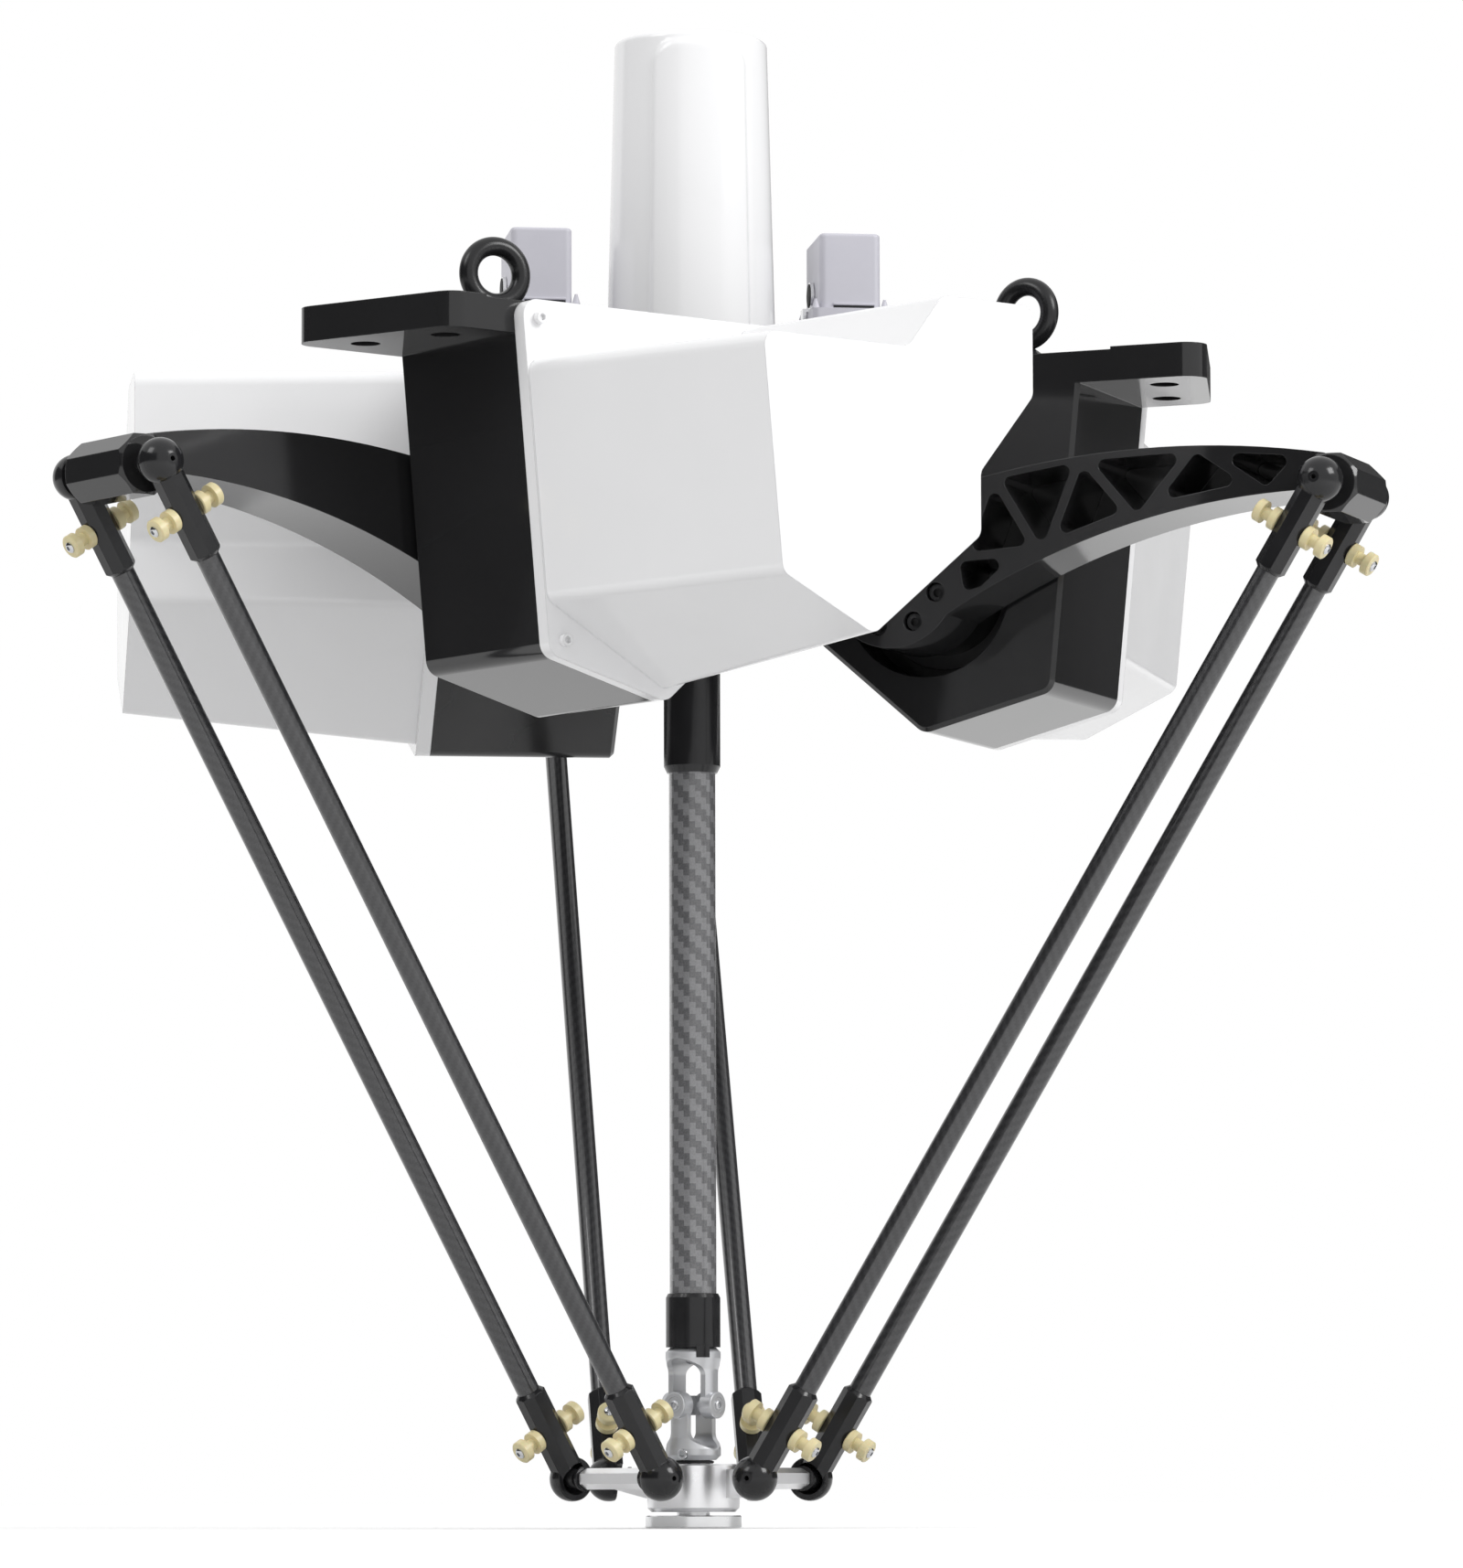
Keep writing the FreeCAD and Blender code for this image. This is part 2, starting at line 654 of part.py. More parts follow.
# Forearm rods
def turned_about_y(points, radius):
    """A solid turned about Y from (radius, height) points, with an arc after the third."""
    flat = [Vector(-r, y, 0) for r, y in points]
    edges = [Part.makeLine(flat[0], flat[1]), Part.makeLine(flat[1], flat[2]),
             Part.Arc(flat[2], Vector(-radius, 0, 0), flat[3]).toShape()]
    for k in range(3, len(flat)):
        edges.append(Part.makeLine(flat[k], flat[(k + 1) % len(flat)]))
    return Part.Face(Part.Wire(edges)).revolve(ORIGIN, Vector(0, 1, 0), 360)


def cup_blank():
    """The ball cup's outside: a sphere, flat at its mouth and on its cap."""
    rim_y = CUP_LIP - CUP_MOUTH
    rim = math.sqrt(CUP_R ** 2 - rim_y ** 2)
    cap = math.sqrt(CUP_R ** 2 - CUP_CAP_R ** 2)
    points = [(0, -CUP_MOUTH), (rim - CUP_LIP, -CUP_MOUTH), (rim, rim_y),
              (CUP_CAP_R, cap), (0, cap)]
    return turned_about_y(points, CUP_R)


def cup_hollow(radius):
    """What is cut from the cup: the ball's socket, its mouth and the vent."""
    rim = math.sqrt(radius ** 2 - CUP_MOUTH ** 2)
    crown = math.sqrt(radius ** 2 - CUP_VENT_R ** 2)
    points = [(0, -CUP_R), (rim, -CUP_R), (rim, -CUP_MOUTH), (CUP_VENT_R, crown),
              (CUP_VENT_R, 2 * CUP_R), (0, 2 * CUP_R)]
    return turned_about_y(points, radius)


def rod_end(fit):
    """A rod end: ball centre at the origin, shank along +X, blind side of the cup along +Y."""
    shank = polygon_bar(SHANK_FLATS, 8, SHANK_END, SHANK_CHAMFER)
    stem = aimed(shank, ORIGIN, Vector(1, 0, 0))
    bore = rod(TUBE_R + GEARBOX_FIT, Vector(SHANK_END - TUBE_GRIP, 0, 0),
               Vector(SHANK_END + TUBE_GRIP, 0, 0))
    return fuse([cup_blank(), stem]).cut([cup_hollow(BALL_R + fit), bore])


def spool():
    """A spring spool along +Z, standing on its inner rim."""
    rim_top = SPOOL_RIM + SPOOL_CORE
    length = rim_top + SPOOL_RIM
    edge_r = SPOOL_R - SPOOL_EDGE
    return turned([(0, 0), (edge_r, 0), (SPOOL_R, SPOOL_EDGE), (SPOOL_R, SPOOL_RIM),
                   (SPOOL_CORE_R, SPOOL_RIM), (SPOOL_CORE_R, rim_top), (SPOOL_R, rim_top),
                   (SPOOL_R, length - SPOOL_EDGE), (edge_r, length), (0, length)])


def end_spools():
    """The two spools on a rod end, one on each side."""
    seat = SHANK_FLATS / 2
    return [aimed(spool(), Vector(SPOOL_AT, 0, side * seat), Vector(0, 0, side))
            for side in (1, -1)]


def forearm_tube():
    """The carbon tube, drawn along +X from the elbow ball."""
    start = Vector(SHANK_END - TUBE_GRIP, 0, 0)
    end = Vector(FOREARM_LENGTH - SHANK_END + TUBE_GRIP, 0, 0)
    return rod(TUBE_R, start, end).cut(rod(TUBE_R - TUBE_WALL, start, end))


def along_forearm(shape, side, from_wrist):
    """Puts a rod piece on the forearm: on one side, from the elbow or from the wrist."""
    piece = shape.copy()
    if side < 0:
        piece = piece.mirror(ORIGIN, Vector(0, 1, 0))
    turn = 180.0 if from_wrist else 0.0
    piece.rotate(ORIGIN, Vector(0, 1, 0), ROD_PITCH + turn)
    x, z = (WRIST_R, WRIST_Z) if from_wrist else (ELBOW_X, ELBOW_Z)
    piece.translate(Vector(x, side * ROD_SPREAD, z))
    return piece


def rod_pair(shapes, from_wrist):
    return [along_forearm(shape, side, from_wrist) for side in (1, -1) for shape in shapes]


# Platform
def platform_hub():
    bottom = FACE_Z + HUB_ABOVE_FACE
    top = bottom + HUB_HEIGHT
    body = [turned([(0, bottom), (HUB_R - HUB_LIP, bottom), (HUB_R, bottom + HUB_LIP),
                    (HUB_R, top - 1), (HUB_R - 1, top), (0, top)])]
    root_z = WRIST_Z - SPOKE_ROOT_DROP
    half = SPOKE_THICK / 2
    tip = WRIST_R - BAR_FLATS / 2
    side = [(0, root_z), (HUB_R, root_z), (tip, WRIST_Z - half), (tip, WRIST_Z + half),
            (0, WRIST_Z + half)]
    plan = [(0, -SPOKE_HALF), (HUB_R, -SPOKE_HALF), (tip, -SPOKE_TIP_HALF),
            (tip, SPOKE_TIP_HALF), (HUB_R, SPOKE_HALF), (0, SPOKE_HALF)]
    web = slab(side, 0, on_side(-SPOKE_TIP_HALF), Vector(0, 2 * SPOKE_TIP_HALF, 0))
    web = web.common(slab(plan, 0, on_plan(root_z - half), AXIS * 2 * HUB_HEIGHT))
    body += [to_leg(web, leg) for leg in range(LEGS)]
    bore = rod(HUB_BORE_R, Vector(0, 0, bottom - HUB_LIP), Vector(0, 0, top + HUB_LIP))
    return fuse(body).cut(bore)


def wrist_bar():
    bar = polygon_bar(BAR_FLATS, 6, 2 * BAR_HALF, BAR_CHAMFER)
    bar.rotate(ORIGIN, AXIS, 30)
    return aimed(bar, Vector(WRIST_R, -BAR_HALF, WRIST_Z), Vector(0, 1, 0))


def tool_bearing():
    bottom = FACE_Z + HUB_ABOVE_FACE
    top = bottom + HUB_HEIGHT
    return rod(HUB_BORE_R, Vector(0, 0, bottom), Vector(0, 0, top)).cut(
        rod(TOOL_STEM_R + RUNNING_FIT, Vector(0, 0, bottom), Vector(0, 0, top)))


# Tool shaft
def tool_flange():
    top = FACE_Z + TOOL_FACE_THICK
    stem_top = FACE_Z + YOKE_START
    edge = 0.8
    body = turned([(0, FACE_Z), (TOOL_FACE_R - edge, FACE_Z), (TOOL_FACE_R, FACE_Z + edge),
                   (TOOL_FACE_R, top - edge), (TOOL_FACE_R - edge, top), (TOOL_STEM_R, top),
                   (TOOL_STEM_R, stem_top), (0, stem_top)])
    cuts = [rod(TOOL_BORE_R, Vector(0, 0, FACE_Z - 1), Vector(0, 0, FACE_Z + TOOL_BORE_DEPTH))]
    for k in range(TOOL_BOLTS):
        x, y = polar(TOOL_BOLT_CIRCLE_R, 45 + k * 360 / TOOL_BOLTS)
        cuts.append(rod(TOOL_BOLT_R, Vector(x, y, FACE_Z - 1), Vector(x, y, top + 1)))
    return body.cut(cuts)


def yoke(span, fit, eye_reach):
    """A cardan yoke along +Z: base disc at 0, pin axis along X at a height of span."""
    shoulder = YOKE_BASE + YOKE_SLOPE
    blank = turned([(0, 0), (YOKE_R - YOKE_TAPER, 0), (YOKE_R, YOKE_TAPER),
                    (YOKE_R, YOKE_BASE), (YOKE_EAR_R, shoulder), (YOKE_EAR_R, span),
                    (0, span)])
    side = [(-YOKE_R, 0), (YOKE_R, 0), (YOKE_R, YOKE_BASE), (YOKE_WAIST, shoulder),
            (YOKE_WAIST, span), (-YOKE_WAIST, span), (-YOKE_WAIST, shoulder),
            (-YOKE_R, YOKE_BASE)]
    rounds = [0, 0, YOKE_TAPER, YOKE_SLOPE, 0, 0, YOKE_SLOPE, YOKE_TAPER]
    across = Vector(2 * YOKE_R, 0, 0)
    plate = slab(side, rounds, lambda y, z: Vector(-YOKE_R, y, z), across)
    eye = rod(YOKE_EYE_R, Vector(-eye_reach, 0, span), Vector(eye_reach, 0, span))
    gap = YOKE_EAR_R - YOKE_EAR_THICK
    floor = YOKE_BASE + gap
    slot = [rod(gap, Vector(0, -YOKE_R, floor), Vector(0, YOKE_R, floor)),
            Part.makeBox(2 * gap, 2 * YOKE_R, span, Vector(-gap, -YOKE_R, floor)),
            rod(CROSS_PIN_R + fit, Vector(-2 * YOKE_R, 0, span), Vector(2 * YOKE_R, 0, span))]
    return fuse([plate.common(blank), eye]).cut(slot)


def cross(centre_z, reach):
    """The cross between two yokes: two pins at right angles with a cap at each end."""
    body = Part.makeBox(CROSS_BODY, CROSS_BODY, CROSS_BODY,
                        Vector(-CROSS_BODY / 2, -CROSS_BODY / 2, -CROSS_BODY / 2))
    pieces = [body]
    for direction in (Vector(1, 0, 0), Vector(0, 1, 0)):
        pieces.append(rod(CROSS_PIN_R, direction * -reach, direction * reach))
    result = fuse(pieces)
    result.translate(Vector(0, 0, centre_z))
    return result


def lower_yoke():
    start = FACE_Z + YOKE_START
    piece = yoke(FACE_Z + JOINT_ABOVE_FACE - start, RUNNING_FIT, YOKE_EYE_REACH)
    piece.rotate(ORIGIN, AXIS, JOINT_TURN)
    piece.translate(Vector(0, 0, start))
    return piece


def upper_yoke():
    start = FACE_Z + COLLAR_BOTTOM
    piece = yoke(start - FACE_Z - JOINT_ABOVE_FACE, RUNNING_FIT, YOKE_EYE_REACH)
    piece.rotate(ORIGIN, Vector(1, 1, 0), 180)
    piece.rotate(ORIGIN, AXIS, JOINT_TURN)
    piece.translate(Vector(0, 0, start))
    return piece


def lower_collar():
    bottom = FACE_Z + COLLAR_BOTTOM
    top = bottom + COLLAR_LENGTH
    seat = bottom + COLLAR_LENGTH / 3
    body = turned([(0, bottom), (COLLAR_R, bottom), (COLLAR_R, top - COLLAR_CHAMFER),
                   (COLLAR_R - COLLAR_CHAMFER / 2, top), (CARBON_R, top), (CARBON_R, seat),
                   (0, seat)])
    return body


def shaft_tube():
    bottom = FACE_Z + COLLAR_BOTTOM + COLLAR_LENGTH / 3
    return turned([(CARBON_R - CARBON_WALL, bottom), (CARBON_R, bottom),
                   (CARBON_R, CARBON_TOP_Z), (CARBON_R - CARBON_WALL, CARBON_TOP_Z)])


def sleeve():
    """The splined nut in its sleeve, which grips the top of the carbon tube."""
    bottom = SLEEVE_FOOT_Z
    top = SLEEVE_TOP_Z
    inner = SPLINE_R + RUNNING_FIT
    return turned([(CARBON_R, bottom), (SLEEVE_R - SLEEVE_CHAMFER / 2, bottom),
                   (SLEEVE_R, bottom + SLEEVE_CHAMFER), (SLEEVE_R, top - 1),
                   (SLEEVE_R - 1, top), (inner, top), (inner, CARBON_TOP_Z),
                   (CARBON_R, CARBON_TOP_Z)])


def spline_shaft():
    """The splined shaft with the lower yoke of the drive joint at its top."""
    shaft = rod(SPLINE_R, Vector(0, 0, SPLINE_FOOT_Z), Vector(0, 0, FORK_Z))
    for k in range(SPLINE_GROOVES):
        x, y = polar(SPLINE_R, k * 360 / SPLINE_GROOVES)
        shaft = shaft.cut(rod(SPLINE_GROOVE_R, Vector(x, y, SPLINE_FOOT_Z),
                              Vector(x, y, FORK_Z)))
    fork = yoke(DRIVE_YOKE_SPAN, RUNNING_FIT, YOKE_R)
    fork.translate(Vector(0, 0, FORK_Z))
    return fuse([shaft, fork])


def drive_yoke():
    """The upper yoke of the drive joint, with the shaft that runs up to the motor."""
    base_z = DRIVE_JOINT_Z + DRIVE_YOKE_SPAN
    stem = rod(SPLINE_R, Vector(0, 0, base_z - DRIVE_SHAFT_TOP), Vector(0, 0, YOKE_BASE / 2))
    piece = fuse([yoke(DRIVE_YOKE_SPAN, RUNNING_FIT, YOKE_R), stem])
    piece.rotate(ORIGIN, Vector(1, 1, 0), 180)
    piece.translate(Vector(0, 0, base_z))
    return piece


# Central hub
def centre_hub():
    """Top plate over the three housings, with the boss of the tool shaft's bearing."""
    sides = []
    for leg in range(2 * LEGS):
        sides.append(polar(PLATE_R, leg * 180 / LEGS))
    top = SHELF_Z + PLATE_THICK
    plate = slab(sides, PLATE_R - PLATE_FLAT_R, on_plan(SHELF_Z), AXIS * PLATE_THICK)
    boss_z = SHELF_Z - BOSS_LENGTH
    boss = rod(BOSS_R, Vector(0, 0, boss_z), Vector(0, 0, top))
    body = fuse([plate, boss])
    seat_z = boss_z + BEARING_LENGTH
    body = body.cut(rod(BOSS_BORE_R, Vector(0, 0, boss_z - 1), Vector(0, 0, seat_z)))
    return body.cut(rod(SPIN_MOTOR_NECK_R, Vector(0, 0, seat_z), Vector(0, 0, top + 1)))


def shaft_bearing():
    low = Vector(0, 0, SHELF_Z - BOSS_LENGTH)
    high = low + AXIS * BEARING_LENGTH
    return rod(BOSS_BORE_R, low, high).cut(rod(SPLINE_R + RUNNING_FIT, low, high))


def tower_cover():
    low = SHELF_Z + PLATE_THICK
    top = TOWER_TOP
    outer = turned([(0, low), (TOWER_R, low), (TOWER_TOP_R, top), (0, top)])
    rim = [edge for edge in outer.Edges
           if edge.BoundBox.ZMin > top - 1 and edge.BoundBox.XMax > TOWER_TOP_R - 1]
    outer = outer.makeFillet(TOWER_ROUND, rim)
    inner = turned([(0, low - 1), (TOWER_R - TOWER_WALL, low - 1),
                    (TOWER_TOP_R - TOWER_WALL, top - TOWER_WALL), (0, top - TOWER_WALL)])
    return fuse([outer, tower_panel()]).cut(inner)


def tower_panel():
    """The raised panel on the tower's front, which follows the tapered wall."""
    low = SHELF_Z + PLATE_THICK
    top = TOWER_TOP - PANEL_BELOW_TOP
    front = [(-PANEL_HALF, low), (PANEL_HALF, low), (PANEL_TOP_HALF, top), (-PANEL_TOP_HALF, top)]
    rounds = [0, 0, PANEL_ROUND, PANEL_ROUND]
    reach = 2 * TOWER_R
    blank = slab(front, rounds, lambda x, z: Vector(x, -reach, z), Vector(0, reach, 0))
    skin = turned([(0, low), (TOWER_R + PANEL_RISE, low), (TOWER_TOP_R + PANEL_RISE, TOWER_TOP),
                   (0, TOWER_TOP)])
    return blank.common(skin)


def spin_motor():
    """The tool shaft's servo motor, upright in the tower on the hub's plate."""
    low = SHELF_Z + PLATE_THICK
    body = turned([(0, low), (SPIN_MOTOR_R, low), (SPIN_MOTOR_R, low + SPIN_MOTOR_LENGTH),
                   (0, low + SPIN_MOTOR_LENGTH)])
    neck = rod(SPIN_MOTOR_NECK_R, Vector(0, 0, low - SPIN_MOTOR_NECK), Vector(0, 0, low))
    socket = rod(SPLINE_R + RUNNING_FIT, Vector(0, 0, low - SPIN_MOTOR_NECK),
                 Vector(0, 0, DRIVE_SHAFT_TOP + 1))
    return fuse([body, neck]).cut(socket)


# Eye bolt
def eye_bolt():
    base = Vector(EYE_X, EYE_Y, SHELF_Z)
    ring = Part.makeTorus(EYE_RING_R, EYE_WIRE_R, base + AXIS * EYE_RISE, Vector(
        math.cos(math.radians(EYE_TURN)), math.sin(math.radians(EYE_TURN)), 0))
    foot = turned([(0, 0), (EYE_FOOT_R, 0), (EYE_FOOT_R, EYE_FOOT / 2),
                   (EYE_WIRE_R, EYE_FOOT + 1), (0, EYE_FOOT + 1)])
    foot.translate(base)
    return fuse([foot, ring])


# Connectors on the top plate
def plug_frame(side):
    return Vector(side * PLUG_X, PLUG_Y, SHELF_Z + PLATE_THICK)


def box_on(centre, width, depth, low, high, radius):
    corners = [(centre.x - width / 2, centre.y - depth / 2),
               (centre.x + width / 2, centre.y - depth / 2),
               (centre.x + width / 2, centre.y + depth / 2),
               (centre.x - width / 2, centre.y + depth / 2)]
    return slab(corners, radius, on_plan(centre.z + low), AXIS * (high - low))


def connector_base(side):
    centre = plug_frame(side)
    foot = box_on(centre, PLUG_FOOT_WIDTH, PLUG_BASE_DEPTH, 0, PLUG_FOOT, PLUG_ROUND)
    body = box_on(centre, PLUG_BASE_WIDTH, PLUG_BASE_DEPTH, 0, PLUG_BASE_HEIGHT, PLUG_ROUND)
    pins = []
    for x in (-1, 1):
        for y in (-1, 1):
            pin = centre + Vector(x * (PLUG_BASE_WIDTH + PLUG_FOOT) / 2 - x * PLUG_FOOT,
                                  y * (PLUG_BASE_DEPTH / 2 - PLUG_FOOT), PLUG_BASE_HEIGHT)
            pins.append(Part.makeCone(PLUG_PIN_R, PLUG_PIN_R / 3, PLUG_PIN_RISE, pin, AXIS))
    return fuse([foot, body] + pins)


def connector_hood(side):
    centre = plug_frame(side)
    low = PLUG_BASE_HEIGHT
    high = low + PLUG_HEIGHT
    body = box_on(centre, PLUG_WIDTH, PLUG_DEPTH, low, high, PLUG_ROUND)
    edges = [edge for edge in body.Edges if edge.BoundBox.ZMin > centre.z + high - 1]
    body = body.makeFillet(PLUG_ROUND / 2, edges)
    pivot = lever_pivot(side)
    return fuse([body, rod(LEVER_PIN_R, pivot + Vector(PLUG_ROUND, 0, 0),
                           pivot - Vector(LEVER_GAP + LEVER_THICK, 0, 0))])


def lever_pivot(side):
    """Where the lever's pin leaves the hood's side."""
    return plug_frame(side) + Vector(-PLUG_WIDTH / 2, 0, PLUG_BASE_HEIGHT + LEVER_PIVOT_RISE)


def from_pivot(pivot):
    """Maps an outline's points to the lever's front plane, measured from its pivot."""
    return lambda x, z: pivot + Vector(x, -LEVER_WIDTH / 2, z)


def connector_lever(side):
    """Locking lever: a disc on the hood's side and a cranked strap that hooks the base."""
    pivot = lever_pivot(side) - Vector(LEVER_GAP, 0, 0)
    step = (PLUG_BASE_WIDTH - PLUG_WIDTH) / 2
    ledge = LEVER_PLAY - LEVER_PIVOT_RISE
    across = Vector(0, LEVER_WIDTH, 0)
    strap = [(0, 0), (0, ledge), (-step, ledge), (-step, ledge - LEVER_HOOK),
             (-step - LEVER_THICK, ledge - LEVER_HOOK), (-step - LEVER_THICK, ledge + LEVER_THICK),
             (-LEVER_THICK, ledge + LEVER_THICK), (-LEVER_THICK, 0)]
    disc = rod(LEVER_PIVOT_R, pivot, pivot - Vector(LEVER_THICK, 0, 0))
    hole = rod(LEVER_PIN_R + RUNNING_FIT, pivot + Vector(1, 0, 0),
               pivot - Vector(LEVER_THICK + 1, 0, 0))
    return fuse([disc, slab(strap, 0, from_pivot(pivot), across)]).cut(hole)


def build():
    housing = leg_housing()
    box = gearbox()
    motor = servo_motor()
    cover = motor_cover()
    screws = cover_screws()
    arm_body = arm()
    output = output_flange()
    upper_end = rod_end(CUP_FIT)
    lower_end = rod_end(CUP_OPEN_FIT)
    tube = forearm_tube()
    spools = end_spools()
    for leg in range(LEGS):
        number = str(leg + 1)
        save("leg_housing_" + number, to_leg(housing, leg))
        save("gearbox_" + number, to_leg(box, leg))
        save("servo_motor_" + number, to_leg(motor, leg))
        save("motor_cover_" + number, to_leg(cover, leg))
        save("eye_bolt_" + number, to_leg(eye_bolt(), leg))
        save("arm_" + number, to_leg(arm_body, leg))
        save("output_flange_" + number, to_leg(output, leg))
        studs = stud_pair(ELBOW_X, ELBOW_Z, ELBOW_HALF)
        save("elbow_studs_" + number, [to_leg(s, leg) for s in studs])
        pair = rod_pair([tube], False)
        save("forearm_tubes_" + number, [to_leg(s, leg) for s in pair])
        pair = rod_pair([upper_end], False)
        save("upper_rod_ends_" + number, [to_leg(s, leg) for s in pair])
        pair = rod_pair([lower_end], True)
        save("lower_rod_ends_" + number, [to_leg(s, leg) for s in pair])
        group = rod_pair(spools, False) + rod_pair(spools, True)
        save("rod_spools_" + number, [to_leg(s, leg) for s in group])
    save("cover_screws", [to_leg(s, leg) for leg in range(LEGS) for s in screws])
    save("platform_hub", platform_hub())
    save("wrist_bars", [to_leg(wrist_bar(), leg) for leg in range(LEGS)])
    wrist_studs = stud_pair(WRIST_R, WRIST_Z, BAR_HALF)
    save("wrist_studs", [to_leg(s, leg) for leg in range(LEGS) for s in wrist_studs])
    save("tool_bearing", tool_bearing())
    save("tool_flange", tool_flange())
    save("lower_yoke", lower_yoke())
    save("upper_yoke", upper_yoke())
    joint = cross(FACE_Z + JOINT_ABOVE_FACE, YOKE_EYE_REACH)
    joint.rotate(ORIGIN, AXIS, JOINT_TURN)
    save("joint_cross", joint)
    save("lower_collar", lower_collar())
    save("shaft_tube", shaft_tube())
    save("shaft_sleeve", sleeve())
    save("spline_shaft", spline_shaft())
    save("drive_yoke", drive_yoke())
    save("drive_cross", cross(DRIVE_JOINT_Z, YOKE_R))
    save("centre_hub", centre_hub())
    save("shaft_bearing", shaft_bearing())
    save("tower_cover", tower_cover())
    save("spin_motor", spin_motor())
    sides = (-1, 1)
    save("connector_bases", [connector_base(side) for side in sides])
    save("connector_hoods", [connector_hood(side) for side in sides])
    save("left_lever", connector_lever(-1))
    save("right_lever", connector_lever(1))


build()
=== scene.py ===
# %% [markdown]
# # A ceiling-mounted parallel robot
# The robot is an assembly of machined, moulded and turned pieces that hang from three ears.
# The solid model already holds every main form, so this script dresses it: paint, carbon
# weave, anodised and machined metal, and the small screws, discs and grooves that catch light.
# The frame comes first, because every later piece is placed from its boxes.

# %% Load the frame
import bpy
import bmesh
import math
from mathutils import Matrix, Vector


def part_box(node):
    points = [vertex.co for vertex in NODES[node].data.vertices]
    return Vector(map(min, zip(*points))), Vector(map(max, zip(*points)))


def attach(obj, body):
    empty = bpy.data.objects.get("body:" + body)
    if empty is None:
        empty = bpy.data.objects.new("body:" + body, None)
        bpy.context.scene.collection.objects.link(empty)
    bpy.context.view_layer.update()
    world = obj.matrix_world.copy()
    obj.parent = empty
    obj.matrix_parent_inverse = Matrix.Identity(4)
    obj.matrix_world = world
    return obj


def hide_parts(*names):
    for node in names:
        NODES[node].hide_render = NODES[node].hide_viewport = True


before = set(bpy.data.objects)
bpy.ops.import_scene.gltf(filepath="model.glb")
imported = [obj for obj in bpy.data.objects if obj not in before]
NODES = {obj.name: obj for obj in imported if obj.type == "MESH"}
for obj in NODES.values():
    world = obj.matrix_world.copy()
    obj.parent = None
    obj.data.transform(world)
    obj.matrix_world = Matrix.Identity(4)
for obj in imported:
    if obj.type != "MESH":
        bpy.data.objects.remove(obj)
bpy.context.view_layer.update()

# %% [markdown]
# ## Sizes that the dressing shares with the solids
# The linkage is the same on all three legs, so each size is stated once, in metres.
# A leg is drawn in its own frame (X outwards, Y sideways, Z up) and turned to its azimuth.

# %% Linkage sizes
MM = 0.001
AZIMUTHS = {1: 90.0, 2: 210.0, 3: 330.0}
SHOULDER = Vector((170, 0, -171)) * MM
ARM_LENGTH = 335 * MM
ARM_REST = math.radians(9)
ROD_SPREAD = 53.5 * MM
FOREARM = 820 * MM
ELBOW = SHOULDER + ARM_LENGTH * Vector((math.cos(ARM_REST), 0, math.sin(ARM_REST)))
WRIST_R = 70 * MM
ROD_DROP = math.sqrt(FOREARM ** 2 - (ELBOW.x - WRIST_R) ** 2)
WRIST = Vector((WRIST_R, 0, ELBOW.z - ROD_DROP))
ROD_PITCH = math.atan2(ROD_DROP, WRIST_R - ELBOW.x)
TOOL_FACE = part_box("tool_flange")[0].z
print("elbow", tuple(ELBOW), "wrist", tuple(WRIST), "tool face", TOOL_FACE)


def leg_turn(leg):
    """Turns the leg's own frame to its azimuth."""
    return Matrix.Rotation(math.radians(AZIMUTHS[leg]), 4, "Z")


# %% [markdown]
# ## Colour and node helpers
# Colours are picked as sRGB hex, the way a paint chart gives them, and Cycles wants linear
# light, so one function turns them. One more adds a node with its settings and its links,
# and the rest are the few patterns that every finish here is made of.

# %% Colour and nodes
def srgb(code):
    """A hex colour as linear RGBA."""
    channels = [int(code[k:k + 2], 16) / 255 for k in (1, 3, 5)]
    linear = [c / 12.92 if c <= 0.04045 else ((c + 0.055) / 1.055) ** 2.4 for c in channels]
    return (*linear, 1.0)


def add(tree, kind, settings=None, links=None):
    """Adds a node, sets its properties and inputs, and links sockets into its inputs."""
    node = tree.nodes.new(kind)
    for key, value in (settings or {}).items():
        if isinstance(key, str) and hasattr(node, key):
            setattr(node, key, value)
        else:
            node.inputs[key].default_value = value
    for key, socket in (links or {}).items():
        tree.links.new(socket, node.inputs[key])
    return node


def new_material(name, **shader):
    """A material with a Principled shader whose plain values are set on its own sockets."""
    made = bpy.data.materials.new(name)
    made.use_nodes = True
    made.node_tree.nodes.clear()
    tree = made.node_tree
    surface = add(tree, "ShaderNodeBsdfPrincipled",
                  {key.replace("_", " "): value for key, value in shader.items()})
    add(tree, "ShaderNodeOutputMaterial", {}, {"Surface": surface.outputs[0]})
    return made, tree, surface


def place_of(tree):
    """Position on the piece, in millimetres, so every pattern keeps its real size."""
    where = add(tree, "ShaderNodeTexCoord")
    return add(tree, "ShaderNodeVectorMath", {"operation": "SCALE", "Scale": 1000.0},
               {0: where.outputs["Object"]}).outputs[0]


def two_shades(tree, surface, share, deep, pale):
    """Paints the surface deep where the share is 0 and pale where it is 1."""
    mix = add(tree, "ShaderNodeMix", {"data_type": "RGBA"}, {"Factor": share})
    first_colour, second_colour, result = 6, 7, 2
    mix.inputs[first_colour].default_value = srgb(deep)
    mix.inputs[second_colour].default_value = srgb(pale)
    tree.links.new(mix.outputs[result], surface.inputs["Base Color"])


def tint(tree, surface, place, pale, deep, grain_mm):
    """Drifts the colour a little between two shades over patches of a given size."""
    patches = add(tree, "ShaderNodeTexNoise", {"Scale": 1 / grain_mm, "Detail": 3.0},
                  {"Vector": place})
    two_shades(tree, surface, patches.outputs["Fac"], deep, pale)


